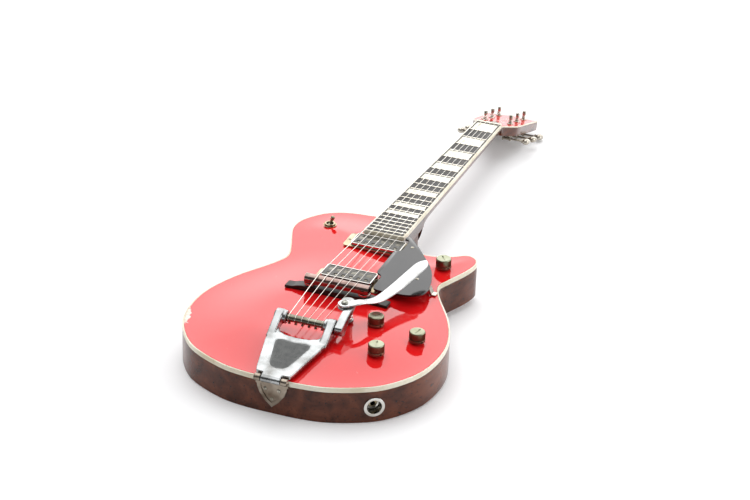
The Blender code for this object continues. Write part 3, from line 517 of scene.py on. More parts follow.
polish = between(tree, mottle(tree, where(tree), 18.0, 6.0), 0.03, 0.085)
tree.links.new(sum_of(tree, polish, chip_all, share=0.5), shader.inputs["Roughness"])
skin = sum_of(tree, mottle(tree, where(tree), 140.0, 2.0), chip_all, share=-2.0)
relief(tree, shader, skin, 0.03, 0.12)


def node(tree, kind, **settings):
    """A node with its settings."""
    made = tree.nodes.new(kind)
    for key, value in settings.items():
        setattr(made, key, value)
    return made


def rule(name, inputs):
    """An empty Geometry Nodes tree with named inputs; returns the tree, its input and its output node."""
    tree = bpy.data.node_groups.new(name, "GeometryNodeTree")
    tree.interface.new_socket(name="Geometry", in_out="INPUT", socket_type="NodeSocketGeometry")
    tree.interface.new_socket(name="Geometry", in_out="OUTPUT", socket_type="NodeSocketGeometry")
    for label, kind in inputs:
        tree.interface.new_socket(name=label, in_out="INPUT", socket_type="NodeSocket" + kind)
    return tree, tree.nodes.new("NodeGroupInput"), tree.nodes.new("NodeGroupOutput")


def finish_rule(tree, given, result, output):
    """Realize what a tree made, give it its material and hand it out."""
    real = tree.nodes.new("GeometryNodeRealizeInstances")
    paint = tree.nodes.new("GeometryNodeSetMaterial")
    tree.links.new(result, real.inputs["Geometry"])
    tree.links.new(real.outputs["Geometry"], paint.inputs["Geometry"])
    tree.links.new(given.outputs["Finish"], paint.inputs["Material"])
    tree.links.new(paint.outputs["Geometry"], output.inputs["Geometry"])


def sums(tree, how, *values):
    """A Math node on sockets and numbers."""
    made = node(tree, "ShaderNodeMath", operation=how)
    for socket, value in zip(made.inputs, values):
        if isinstance(value, (int, float)):
            socket.default_value = value
        else:
            tree.links.new(value, socket)
    return made.outputs[0]


def grown(name, tree, source, values, place=None, sharp=40):
    """Run a tree on a source mesh with its named inputs, and keep the result as a plain mesh."""
    guide = bpy.data.objects.new(name, source)
    scene.collection.objects.link(guide)
    modifier = guide.modifiers.new(name, "NODES")
    modifier.node_group = tree
    for item in tree.interface.items_tree:
        if item.in_out == "INPUT" and item.name in values:
            modifier[item.identifier] = values[item.name]
    graph = bpy.context.evaluated_depsgraph_get()
    mesh = bpy.data.meshes.new_from_object(guide.evaluated_get(graph))
    bpy.data.objects.remove(guide)
    if place is not None:
        mesh.transform(place)
    made = bpy.data.objects.new(name, mesh)
    scene.collection.objects.link(made)
    shade(made, sharp)
    return made


# The arch is a rule: each point of the upper face rises with its distance from the body's edge.
arch_tree, given, output = rule("arch", [("Edge", "Object"), ("Rise", "Float"), ("Run", "Float"),
                                         ("Rim height", "Float"), ("Upper face above", "Float"),
                                         ("Finish", "Material")])
edge_line = node(arch_tree, "GeometryNodeObjectInfo")
near = node(arch_tree, "GeometryNodeProximity", target_element="EDGES")
climb = node(arch_tree, "ShaderNodeMapRange", interpolation_type="SMOOTHSTEP")
position = node(arch_tree, "GeometryNodeInputPosition")
split = node(arch_tree, "ShaderNodeSeparateXYZ")
flat_spot = node(arch_tree, "ShaderNodeCombineXYZ")
arch_spot = node(arch_tree, "ShaderNodeCombineXYZ")
above = node(arch_tree, "FunctionNodeCompare", data_type="FLOAT", operation="GREATER_THAN")
lift = node(arch_tree, "GeometryNodeSetPosition")
join = arch_tree.links.new
join(given.outputs["Edge"], edge_line.inputs["Object"])
join(edge_line.outputs["Geometry"], near.inputs["Geometry"])
join(position.outputs["Position"], split.inputs["Vector"])
join(split.outputs["X"], flat_spot.inputs["X"])
join(split.outputs["Y"], flat_spot.inputs["Y"])
join(flat_spot.outputs["Vector"], near.inputs["Sample Position"])
join(near.outputs["Distance"], climb.inputs["Value"])
join(given.outputs["Run"], climb.inputs["From Max"])
join(given.outputs["Rise"], climb.inputs["To Max"])
join(split.outputs["X"], arch_spot.inputs["X"])
join(split.outputs["Y"], arch_spot.inputs["Y"])
join(sums(arch_tree, "ADD", climb.outputs["Result"], given.outputs["Rim height"]), arch_spot.inputs["Z"])
join(split.outputs["Z"], above.inputs["A"])
join(given.outputs["Upper face above"], above.inputs["B"])
join(given.outputs["Geometry"], lift.inputs["Geometry"])
join(above.outputs["Result"], lift.inputs["Selection"])
join(arch_spot.outputs["Vector"], lift.inputs["Position"])
finish_rule(arch_tree, given, lift.outputs["Geometry"], output)

edge_data = bpy.data.meshes.new("edge_line")
edge_data.from_pydata([(x * MM, y * MM, 0) for x, y in body_outline],
                      [(i, (i + 1) % len(body_outline)) for i in range(len(body_outline))], [])
edge_object = bpy.data.objects.new("edge_line", edge_data)
scene.collection.objects.link(edge_object)

BOARD_START = 166.0
SCALE_LENGTH = 625.0
FRETS = 22
HALF_AT_NUT = 20.65
HALF_AT_LAST_FRET = 28.85


def board_half(y):
    """Half width of the bound fingerboard at a distance from the bridge end of the scale."""
    last_fret = SCALE_LENGTH / 2 ** (FRETS / 12)
    return HALF_AT_NUT + (HALF_AT_LAST_FRET - HALF_AT_NUT) * (SCALE_LENGTH - y) / (SCALE_LENGTH - last_fret)


def neck_strip(start, end, change):
    """Outline of a strip as wide as the fingerboard, wider by a change."""
    first = board_half(start) + change
    last = board_half(end) + change
    return [(-first, start), (first, start), (last, end), (-last, end)]


KNOBS = {"volume_neck": (72.3, -54.8), "volume_bridge": (130.6, -64.6), "tone": (96.6, -118.1),
         "master": (96.2, 134.9)}
SWITCH = (-85.0, 184.7)
HIGH = 100.0
tiles = bmesh.new()
span_x = 352.0
span_y = 476.0
bmesh.ops.create_grid(tiles, x_segments=int(span_x / TILE), y_segments=int(span_y / TILE), size=0.5)
for vert in tiles.verts:
    vert.co = (vert.co.x * span_x, vert.co.y * span_y + 16, HIGH)
sheet = bmesh.ops.extrude_face_region(tiles, geom=tiles.faces[:])
for vert in sheet["geom"]:
    if isinstance(vert, bmesh.types.BMVert):
        vert.co.z = CORE_TOP - 5
top = piece("arched_top", prism(inset(body_outline, TOP_EDGE), CORE_TOP + 0.15, HIGH + 20), lacquer)
carve(top, [piece("tiles", tiles, None)], "INTERSECT")
openings = [piece("cut", prism(neck_strip(BOARD_START - 1, 262, 0.15), CORE_TOP - 4, HIGH + 30), None)]
for y, _ in PICKUPS.values():
    openings.append(piece("cut", prism(round_box(70.8, 31.8, 3, (0, y)), 20, HIGH + 30), None))
for spot in KNOBS.values():
    openings.append(piece("cut", prism(ring_of(4.9, 32, spot), 20, HIGH + 30), None))
openings.append(piece("cut", prism(ring_of(6.3, 32, SWITCH), 20, HIGH + 30), None))
carve(top, openings)
flat_top = top.data
bpy.data.objects.remove(top)
top = grown("arched_top", arch_tree, flat_top,
            {"Edge": edge_object, "Rise": ARCH_RISE * MM, "Run": ARCH_RUN * MM, "Rim height": RIM * MM,
             "Upper face above": 0.08, "Finish": lacquer})
bpy.data.objects.remove(edge_object)
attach(top, "root")
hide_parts("body_top")
outline_array = np.array(body_outline)


def arch_height(x, y):
    """Height of the arched top at a place."""
    start = outline_array
    along = np.roll(start, -1, axis=0) - start
    here = np.array((x, y)) - start
    share = np.clip((here * along).sum(1) / (along ** 2).sum(1), 0, 1)
    distance = np.sqrt(((here - along * share[:, None]) ** 2).sum(1)).min()
    t = min(1.0, distance / ARCH_RUN)
    return RIM + ARCH_RISE * t * t * (3 - 2 * t)


def height_over(x, y, reach):
    """Highest point of the top within a reach of a place."""
    around = [(x + reach * cos(k * pi / 4), y + reach * sin(k * pi / 4)) for k in range(8)]
    return max(arch_height(u, v) for u, v in around + [(x, y)])


# ---- body: binding -------------------------------------------------------------------------------
# A strip of cream celluloid, glued in a ledge round the top edge and scraped flush.  It has yellowed
# unevenly under its lacquer, and a thin line of dirt marks the glue joint.
BINDING_LOW = CORE_TOP + 0.15
cream, tree, shader = set_finish("aged_cream", (0.78, 0.7, 0.52), 0.25, ior=1.5)
yellowing = mottle(tree, where(tree), 16.0, 5.0)
tone = shades(tree, yellowing, [(0.3, (0.66, 0.57, 0.40)), (0.5, (0.80, 0.74, 0.59)),
                                (0.7, (0.86, 0.82, 0.70))])
dirt = mask(tree, mottle(tree, where(tree), 420.0, 3.0), 0.66, 0.74)
tree.links.new(blend_colour(tree, dirt, tone, (0.42, 0.33, 0.22)), shader.inputs["Base Color"])
tree.links.new(between(tree, mottle(tree, where(tree), 90.0, 5.0), 0.16, 0.42), shader.inputs["Roughness"])
relief(tree, shader, mottle(tree, where(tree), 240.0, 3.0), 0.05, 0.15)


def swept(path, section, up=(0, 0, 1), closed=False, sizes=None):
    """Carry a section of (across, up) points along a path."""
    shape = bmesh.new()
    spots = [Vector(p) for p in path]
    count = len(spots)
    rows = []
    for i, spot in enumerate(spots):
        if closed:
            ahead, behind = spots[(i + 1) % count], spots[i - 1]
        else:
            ahead, behind = spots[min(i + 1, count - 1)], spots[max(i - 1, 0)]
        along = (ahead - behind).normalized()
        across = along.cross(Vector(up)).normalized()
        rise = across.cross(along)
        size = sizes[i] if sizes else 1.0
        rows.append([shape.verts.new(spot + across * (u * size) + rise * (v * size)) for u, v in section])
    following = rows[1:] + (rows[:1] if closed else [])
    for row, after in zip(rows, following):
        for k in range(len(section)):
            m = (k + 1) % len(section)
            shape.faces.new((row[k], row[m], after[m], after[k]))
    if not closed:
        shape.faces.new(rows[0][::-1])
        shape.faces.new(rows[-1])
    return shape


band_section = eased([(0, BINDING_LOW), (0, RIM), (-BINDING_WIDTH, RIM), (-BINDING_WIDTH, BINDING_LOW)],
                     0.5, 3, closed=True)
binding = piece("body_binding_strip",
                swept([(x, y, 0) for x, y in body_outline], band_section, closed=True), cream)
carve(binding, [piece("cut", prism(neck_strip(BOARD_START - 1, 262, 0.15), CORE_TOP - 4, 90), None)])
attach(binding, "root")
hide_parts("body_binding")

# ---- neck ----------------------------------------------------------------------------------------
# One-piece mahogany neck with its headstock, carved to a soft D and flaring into a heel that is glued
# into the body.  It is stained and lacquered like the body, and the lacquer is thinner from playing.
NECK_ANGLE = radians(3.2)
HEAD_ANGLE = radians(14.0)
HEAD_START = 631.0
BOARD_THICKNESS = 5.5
BOARD_BOTTOM = -5.8
HEAD_THICKNESS = 15.0
VENEER = 1.8
POST_X = 20.5
POST_PLACES = (46.0, 85.0, 124.0)
NECK_RISE = 76.25
to_neck = Matrix.Translation((0, 0, NECK_RISE)) @ Matrix.Rotation(-NECK_ANGLE, 4, "X")
to_head = to_neck @ Matrix.Translation((0, HEAD_START, -3.5)) @ Matrix.Rotation(-HEAD_ANGLE, 4, "X")


def lofted(rows):
    """A solid through closed rows of points."""
    shape = bmesh.new()
    rings = [[shape.verts.new(point) for point in row] for row in rows]
    for ring, after in zip(rings, rings[1:]):
        for i in range(len(ring)):
            j = (i + 1) % len(ring)
            shape.faces.new((ring[i], ring[j], after[j], after[i]))
    shape.faces.new(rings[0][::-1])
    shape.faces.new(rings[-1])
    return shape


def block(low, high, edge=0.0, steps=2):
    """A block between two corners, with its edges rounded over by a radius."""
    shape = prism([(low[0], low[1]), (high[0], low[1]), (high[0], high[1]), (low[0], high[1])],
                  low[2], high[2])
    if edge:
        bmesh.ops.bevel(shape, geom=shape.edges[:], offset=edge, segments=steps, profile=0.5,
                        affect="EDGES")
    return shape


def neck_row(y, depth, fullness, sides=28):
    """A neck section: flat on top and rounded below."""
    half = board_half(y)
    return [(half * cos(pi * i / sides), y, BOARD_BOTTOM - depth * sin(pi * i / sides) ** fullness)
            for i in range(sides + 1)]


neck_plan = [(632, 15, 0.8), (560, 15, 0.8), (430, 17, 0.8), (300, 19, 0.8), (278, 21, 0.8), (268, 25, 0.85),
             (260, 33, 0.9), (254.5, 44, 0.9), (252.8, 52, 0.9)]
neck_rows = []
for first, last in zip(neck_plan, neck_plan[1:]):
    for step in range(4):
        share = step / 4
        neck_rows.append(neck_row(*[a + (b - a) * share for a, b in zip(first, last)]))
neck_rows.append(neck_row(*neck_plan[-1]))
neck_wood = mahogany("brown_neck", (0.012, 0.16, 0.012))
neck_coat = neck_wood.node_tree.nodes["Principled BSDF"].inputs
neck_coat["Coat Weight"].default_value = 0.6
neck_coat["Coat IOR"].default_value = 1.6
neck = piece("neck_wood", lofted(neck_rows), neck_wood, to_neck)
shoulder = piece("shoulder", prism(neck_strip(BOARD_START + 1, 254, -0.2), -40, BOARD_BOTTOM), None, to_neck)
carve(shoulder, [piece("cut", block((-60, 100, -20), (60, 300, CORE_TOP + 0.3)), None)])
half_head = [(20.4, 2), (21.5, 7), (25.5, 15), (31.5, 24), (36, 33), (37.5, 45), (38, 70), (38.8, 105),
             (40.5, 138), (30, 138.5), (20, 141.5), (10, 147), (0, 149)]
side_points = eased(half_head[:9], 6, 3) + eased([(40.5, 138), (30, 138.5), (20, 141.5), (10, 147), (0, 149)],
                                                5, 3)[1:]
head_loop = side_points + [(-x, y) for x, y in reversed(side_points[:-1])]
head_blank = prism(head_loop, -HEAD_THICKNESS, -VENEER - 0.2, 1.2, 3, rims=("low",))
joined = [piece("tenon", block((-19, 172, -50), (19, 254, BOARD_BOTTOM - 1)), None, to_neck), shoulder,
          piece("blank", head_blank, None, to_head),
          piece("root", block((-19, -14, -HEAD_THICKNESS + 0.5), (19, 10, -6.6), 1.5), None, to_head)]
carve(neck, joined, "UNION")
drilled = [piece("groove", block((-3, 190, -12.3), (3, HEAD_START + 14, BOARD_BOTTOM + 2)), None, to_neck)]
for side in (-1, 1):
    for s in POST_PLACES:
        drilled.append(piece("hole", turned([(0, 20), (3.4, 20), (3.4, -40), (0, -40)], 28), None,
                             to_head @ Matrix.Translation((side * POST_X, s, 0))))
carve(neck, drilled)
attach(neck, "root")
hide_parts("neck")

# ---- fingerboard, frets, inlays and nut ----------------------------------------------------------
# An ebony board with 22 nickel-silver frets hammered into its slots, pearl-like blocks let in behind
# eight of them, cream binding along its edges with black side dots, and a bone nut at its end.
ebony, tree, shader = set_finish("ebony", (0.02, 0.017, 0.015), 0.34, ior=1.38)
streaks = mottle(tree, where(tree, (0.004, 0.12, 0.004)), 1.0, 6.0, 0.5)
tree.links.new(shades(tree, streaks, [(0.35, (0.010, 0.008, 0.007)), (0.6, (0.024, 0.018, 0.014)),
                                      (0.78, (0.060, 0.040, 0.027))]), shader.inputs["Base Color"])
tree.links.new(between(tree, mottle(tree, where(tree, (0.02, 0.05, 0.02)), 1.0, 5.0), 0.26, 0.55),
               shader.inputs["Roughness"])
relief(tree, shader, mottle(tree, where(tree, (0.0008, 0.008, 0.0008)), 1.0, 2.0), 0.06, 0.3)
board = piece("ebony_board", prism(neck_strip(BOARD_START + 2.1, SCALE_LENGTH, -2.1), -BOARD_THICKNESS, 0),
              ebony, to_neck)
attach(board, "root")
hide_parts("fingerboard")

trim_loop = neck_strip(BOARD_START, SCALE_LENGTH, 0)
inner_loop = neck_strip(BOARD_START + 2, SCALE_LENGTH, -2)
trim = prism([trim_loop[3], trim_loop[0], trim_loop[1], trim_loop[2], inner_loop[2], inner_loop[1],
              inner_loop[0], inner_loop[3]], -BOARD_THICKNESS, 0, 0.3, 2, rims=("high",))
board_binding = piece("board_binding", trim, cream, to_neck)
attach(board_binding, "root")
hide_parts("fingerboard_binding")


def plated(name, bright, dull, smooth, rough, grain_mm, wear_size=30.0, depth=0.02, strength=0.15):
    """Metal whose colour and polish vary in soft patches, with a fine grain in its surface."""
    finish, tree, shader = set_finish(name, bright, smooth, metallic=1.0)
    age = mottle(tree, where(tree), wear_size, 6.0, 0.3)
    tone = shades(tree, age, [(0.38, bright), (0.72, dull)])
    pits = mask(tree, mottle(tree, where(tree), 900.0, 2.0), 0.7, 0.78)
    tone = blend_colour(tree, pits, tone, tuple(0.45 * c for c in dull))
    tree.links.new(tone, shader.inputs["Base Color"])
    tree.links.new(between(tree, age, smooth, rough), shader.inputs["Roughness"])
    grain = mottle(tree, where(tree), 1000.0 / grain_mm, 3.0)
    relief(tree, shader, sum_of(tree, grain, pits, share=-0.5), depth, strength)
    return finish


# The fret rule: fret n stands at the scale length divided by the n-th twelfth root of two.
fret_wire = plated("fret_wire", (0.80, 0.77, 0.70), (0.58, 0.54, 0.46), 0.12, 0.35, 0.8)
fret_tree, given, output = rule("frets", [("Frets", "Int"), ("Scale length", "Float"),
                                          ("Half width at nut", "Float"), ("Width slope", "Float"),
                                          ("Fret", "Object"), ("Finish", "Material")])
line = node(fret_tree, "GeometryNodeMeshLine")
index = node(fret_tree, "GeometryNodeInputIndex")
spot = node(fret_tree, "ShaderNodeCombineXYZ")
size = node(fret_tree, "ShaderNodeCombineXYZ")
shape_in = node(fret_tree, "GeometryNodeObjectInfo")
put = node(fret_tree, "GeometryNodeSetPosition")
copies = node(fret_tree, "GeometryNodeInstanceOnPoints")
number = sums(fret_tree, "ADD", index.outputs["Index"], 1.0)
power = sums(fret_tree, "POWER", 2.0, sums(fret_tree, "DIVIDE", number, -12.0))
fret_y = sums(fret_tree, "MULTIPLY", power, given.outputs["Scale length"])
from_nut = sums(fret_tree, "SUBTRACT", given.outputs["Scale length"], fret_y)
wider = sums(fret_tree, "MULTIPLY", from_nut, given.outputs["Width slope"])
join = fret_tree.links.new
join(given.outputs["Frets"], line.inputs["Count"])
join(fret_y, spot.inputs["Y"])
join(sums(fret_tree, "ADD", given.outputs["Half width at nut"], wider), size.inputs["X"])
size.inputs["Y"].default_value = 1.0
size.inputs["Z"].default_value = 1.0
join(line.outputs["Mesh"], put.inputs["Geometry"])
join(spot.outputs["Vector"], put.inputs["Position"])
join(put.outputs["Geometry"], copies.inputs["Points"])
join(given.outputs["Fret"], shape_in.inputs["Object"])
join(shape_in.outputs["Geometry"], copies.inputs["Instance"])
join(size.outputs["Vector"], copies.inputs["Scale"])
finish_rule(fret_tree, given, copies.outputs["Instances"], output)
crown = [(1.2 * cos(pi * i / 8), 1.0 * sin(pi * i / 8)) for i in range(9)]
crown = crown + [(-1.2, -0.1), (1.2, -0.1)]
unit_fret = bmesh.new()
ends = []
for x in (-1000.0, 1000.0):
    ends.append([unit_fret.verts.new((x, u, v)) for u, v in crown])
for i in range(len(crown)):
    j = (i + 1) % len(crown)
    unit_fret.faces.new((ends[0][i], ends[0][j], ends[1][j], ends[1][i]))
unit_fret.faces.new(ends[0][::-1])
unit_fret.faces.new(ends[1])
unit = piece("unit_fret", unit_fret, None)
slope = (board_half(400) - board_half(500)) / 100
nothing = bpy.data.meshes.new("start")
frets = grown("frets", fret_tree, nothing,
              {"Frets": FRETS, "Scale length": SCALE_LENGTH * MM, "Fret": unit,
               "Half width at nut": (HALF_AT_NUT - 2.4) * MM, "Width slope": slope, "Finish": fret_wire},
              Matrix.Translation((0, 0, NECK_RISE * MM)) @ Matrix.Rotation(-NECK_ANGLE, 4, "X"))
bpy.data.objects.remove(unit)
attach(frets, "root")

pearl, tree, shader = set_finish("aged_pearl", (0.9, 0.86, 0.74), 0.2)
swirl = mottle(tree, where(tree), 60.0, 4.0, 2.5)
tree.links.new(shades(tree, swirl, [(0.3, (0.72, 0.67, 0.52)), (0.5, (0.88, 0.84, 0.71)),
                                    (0.68, (0.93, 0.92, 0.86))]), shader.inputs["Base Color"])
tree.links.new(between(tree, swirl, 0.12, 0.3), shader.inputs["Roughness"])
relief(tree, shader, mottle(tree, where(tree), 300.0, 3.0), 0.03, 0.15)


def fret_place(number):
    return SCALE_LENGTH / 2 ** (number / 12)


blocks = bmesh.new()
INLAY_MARGIN = 4.6
for number in (1, 3, 5, 7, 9, 12, 15, 17):
    start = fret_place(number) + 2.6
    end = fret_place(number - 1) - 2.6
    slab = prism(neck_strip(start, end, -INLAY_MARGIN), -1.0, 0.05, 0.03, 1, rims=("high",))
    mesh = bpy.data.meshes.new("slab")
    slab.to_mesh(mesh)
    slab.free()
    blocks.from_mesh(mesh)
inlays = piece("block_inlays", blocks, pearl, to_neck)
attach(inlays, "root")

# A scattering rule: one small piece is set on each point, facing its way and turned a little at random.
scatter_tree, given, output = rule("fasteners", [("Piece", "Object"), ("Turn spread", "Float"),
                                                 ("Seed", "Int"), ("Finish", "Material")])
facing = node(scatter_tree, "GeometryNodeInputNamedAttribute", data_type="FLOAT_VECTOR")
facing.inputs["Name"].default_value = "facing"
align = node(scatter_tree, "FunctionNodeAlignRotationToVector", axis="Z")
chance = node(scatter_tree, "FunctionNodeRandomValue", data_type="FLOAT")
spin_by = node(scatter_tree, "ShaderNodeCombineXYZ")
as_turn = node(scatter_tree, "FunctionNodeEulerToRotation")
both = node(scatter_tree, "FunctionNodeRotateRotation", rotation_space="LOCAL")
shape_in = node(scatter_tree, "GeometryNodeObjectInfo")
copies = node(scatter_tree, "GeometryNodeInstanceOnPoints")
join = scatter_tree.links.new
random_value = [s for s in chance.outputs if s.type == "VALUE" and s.enabled][0]
low_limit = [s for s in chance.inputs if s.name == "Min" and s.type == "VALUE" and s.enabled][0]
high_limit = [s for s in chance.inputs if s.name == "Max" and s.type == "VALUE" and s.enabled][0]
low_limit.default_value = 0.0
join(given.outputs["Turn spread"], high_limit)
join(given.outputs["Seed"], chance.inputs["Seed"])
join(random_value, spin_by.inputs["Z"])
join(spin_by.outputs["Vector"], as_turn.inputs["Euler"])
join([s for s in facing.outputs if s.enabled][0], align.inputs["Vector"])
join(align.outputs["Rotation"], both.inputs["Rotation"])
join(as_turn.outputs["Rotation"], both.inputs["Rotate By"])
join(given.outputs["Geometry"], copies.inputs["Points"])
join(both.outputs["Rotation"], copies.inputs["Rotation"])
join(given.outputs["Piece"], shape_in.inputs["Object"])
join(shape_in.outputs["Geometry"], copies.inputs["Instance"])
finish_rule(scatter_tree, given, copies.outputs["Instances"], output)


def scattered(name, shape, spots, finish, body, seed=1, spread=pi):
    """Set a small piece on (place, facing) spots, as one mesh that rides on a body."""
    points = bpy.data.meshes.new(name)
    points.from_pydata([Vector(place) * MM for place, _ in spots], [], [])
    attribute = points.attributes.new("facing", "FLOAT_VECTOR", "POINT")
    for item, (_, way) in zip(attribute.data, spots):
        item.vector = way
    unit = piece("unit", shape, None)
    made = grown(name, scatter_tree, points,
                 {"Piece": unit, "Turn spread": float(spread), "Seed": seed, "Finish": finish})
    bpy.data.objects.remove(unit)
    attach(made, body)
    return made


neck_turn = to_neck.to_3x3()
dots = []
for number, shifts in ((3, (0,)), (5, (0,)), (7, (0,)), (9, (0,)), (12, (-4, 4)), (15, (0,)), (17, (0,)),
                       (19, (0,)), (21, (0,))):
    for shift in shifts:
        y = (fret_place(number) + fret_place(number - 1)) / 2 + shift
        dots.append((to_neck @ Vector((-board_half(y) + 0.02, y, -2.4)), neck_turn @ Vector((-1, 0, 0))))
black_plastic, tree, shader = set_finish("black_plastic", (0.012, 0.012, 0.013), 0.08)
scuffs = mottle(tree, where(tree, (0.03, 0.004, 0.03), turned_by=0.6), 1.0, 6.0)
tree.links.new(shades(tree, mottle(tree, where(tree), 25.0, 4.0),
                      [(0.35, (0.008, 0.008, 0.009)), (0.7, (0.018, 0.017, 0.017))]),
               shader.inputs["Base Color"])
tree.links.new(between(tree, scuffs, 0.03, 0.16), shader.inputs["Roughness"])
relief(tree, shader, mottle(tree, where(tree), 70.0, 2.0), 0.03, 0.06)
scattered("side_dots", turned([(0, 0.05), (0.85, 0.03), (0.95, -0.5), (0, -0.5)], 16), dots, black_plastic,
          "root")

bone, tree, shader = set_finish("bone", (0.84, 0.79, 0.66), 0.3)
fibres = mottle(tree, where(tree, (0.006, 0.001, 0.002)), 1.0, 4.0)
tree.links.new(shades(tree, fibres, [(0.35, (0.70, 0.62, 0.46)), (0.6, (0.86, 0.82, 0.71))]),
               shader.inputs["Base Color"])
tree.links.new(between(tree, fibres, 0.2, 0.42), shader.inputs["Roughness"])
relief(tree, shader, fibres, 0.05, 0.2)
NUT_SPREAD = 17.5
STRING_NAMES = ("low_e", "a", "d", "g", "b", "high_e")
STRING_RADII = (0.6, 0.47, 0.37, 0.3, 0.25, 0.2)
nut = piece("nut_bone", block((-HALF_AT_NUT, SCALE_LENGTH + 0.3, -5.5), (HALF_AT_NUT, SCALE_LENGTH + 5, 1.35),
                              0.4, 3), bone, to_neck)
slots = []
for number, radius in enumerate(STRING_RADII):
    x = (number - 2.5) / 2.5 * NUT_SPREAD
    level = 0.7 + radius + 0.3
    cut = [(x - radius - 0.06, level + 3), (x - radius - 0.06, level), (x, level - radius - 0.1),
           (x + radius + 0.06, level), (x + radius + 0.06, level + 3)]
    shape = prism(cut, -SCALE_LENGTH - 7, -SCALE_LENGTH + 2)
    slots.append(piece("slot", shape, None, to_neck @ Matrix.Rotation(pi / 2, 4, "X")))
carve(nut, slots)
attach(nut, "root")
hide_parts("nut")

# ---- headstock face and truss rod cover ----------------------------------------------------------
# The headstock is faced with a thin red-lacquered veneer inside a strip of white binding.  A small
# black bell-shaped plate, held by three screws, covers the truss rod's adjusting nut.
EDGE_STRIP = 1.5
face_cuts = [piece("groove", block((-3, 500, -12.3), (3, HEAD_START + 14, BOARD_BOTTOM + 2)), None, to_neck)]
for side in (-1, 1):
    for s in POST_PLACES:
        face_cuts.append(piece("hole", turned([(0, 20), (3.4, 20), (3.4, -9), (0, -9)], 28), None,
                               to_head @ Matrix.Translation((side * POST_X, s, 0))))
face = piece("headstock_veneer", prism(inset(head_loop, EDGE_STRIP + 0.02), -VENEER, -0.02, 0.1, 1,
                                       rims=("high",)), lacquer, to_head)
carve(face, face_cuts)
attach(face, "root")
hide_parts("headstock_face")

edge_section = [(0, -VENEER), (0, -0.3), (-0.3, 0), (-EDGE_STRIP, 0), (-EDGE_STRIP, -VENEER)]
head_edge = piece("headstock_binding", swept([(x, y, 0) for x, y in head_loop], edge_section, closed=True),
                  cream, to_head)
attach(head_edge, "root")

bell = eased([(-5, 5), (5, 5), (12, 11), (10.5, 18), (6, 27), (0, 33), (-6, 27), (-10.5, 18), (-12, 11)],
             2.5, 4, closed=True)
rod_cover = piece("truss_rod_cover", prism(bell, 0.05, 1.9, 0.35, 2, rims=("high",)), black_plastic, to_head)
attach(rod_cover, "root")

screw_metal = plated("screw_nickel", (0.50, 0.47, 0.40), (0.24, 0.20, 0.14), 0.2, 0.45, 0.6, 90.0)


def slotted_screw(radius, dome, slot_width=0.0):
    """A domed screw head with a straight slot; its seat is at height 0."""
    head = [(0, dome), (radius * 0.5, dome * 0.87), (radius * 0.85, dome * 0.45), (radius, 0.05),
            (radius, -0.4),
            (0, -0.4)]
    body = piece("head", turned(head, 24), None)
    half_slot = (slot_width or radius * 0.28) / 2
    body_cut = block((-radius * 1.2, -half_slot, dome * 0.35), (radius * 1.2, half_slot, dome + 1))
    carve(body, [piece("slot", body_cut, None)], sharp=30)
    shape = bmesh.new()
    shape.from_mesh(body.data)
    bmesh.ops.scale(shape, vec=(1 / MM, 1 / MM, 1 / MM), verts=shape.verts)
    bpy.data.objects.remove(body)
    return shape


head_up = to_head.to_3x3() @ Vector((0, 0, 1))
scattered("rod_cover_screws", slotted_screw(1.4, 0.6),
          [(to_head @ Vector((x, y, 1.85)), head_up) for x, y in ((0, 29.5), (-8.6, 12.4), (8.6, 12.4))],
          screw_metal, "root", seed=3)

# ---- tuners --------------------------------------------------------------------------------------
# Six open-back tuners on two nickel strips.  Each oval key turns a worm, the worm turns a toothed wheel
# on the foot of the string post, and small screws hold the strips to the back of the headstock.
GEAR_LEVEL = -21.5
WORM_OFFSET = 9.0
PLATE_LEVEL = -15.3
tuner_nickel = plated("tuner_nickel", (0.52, 0.49, 0.43), (0.30, 0.25, 0.19), 0.14, 0.4, 0.7, 70.0)
worn_brass = plated("worn_brass", (0.50, 0.37, 0.20), (0.28, 0.19, 0.09), 0.22, 0.48, 0.6, 80.0)

# A ring rule: small ribs stand round a circle, facing out, as on gear wheels and knurled edges.
ring_tree, given, output = rule("ring_of_ribs", [("Rib", "Object"), ("Count", "Int"), ("Radius", "Float"),
                                                 ("Finish", "Material")])
circle = node(ring_tree, "GeometryNodeMeshCircle")
place_now = node(ring_tree, "GeometryNodeInputPosition")
outwards = node(ring_tree, "FunctionNodeAlignRotationToVector", axis="X")
rib_in = node(ring_tree, "GeometryNodeObjectInfo")
copies = node(ring_tree, "GeometryNodeInstanceOnPoints")
join = ring_tree.links.new
join(given.outputs["Count"], circle.inputs["Vertices"])
join(given.outputs["Radius"], circle.inputs["Radius"])
join(place_now.outputs["Position"], outwards.inputs["Vector"])
join(circle.outputs["Mesh"], copies.inputs["Points"])
join(outwards.outputs["Rotation"], copies.inputs["Rotation"])
join(given.outputs["Rib"], rib_in.inputs["Object"])
join(rib_in.outputs["Geometry"], copies.inputs["Instance"])
finish_rule(ring_tree, given, copies.outputs["Instances"], output)


def ribbed(name, rib, count, radius, finish, place):
    """A ring of ribs at a place given in millimetres."""
    unit = piece("unit", rib, None)
    in_metres = Matrix.Translation(place.translation * MM) @ place.to_3x3().to_4x4()
    made = grown(name, ring_tree, nothing, {"Rib": unit, "Count": count, "Radius": radius * MM,
                                           "Finish": finish}, in_metres)
    bpy.data.objects.remove(unit)
    return made


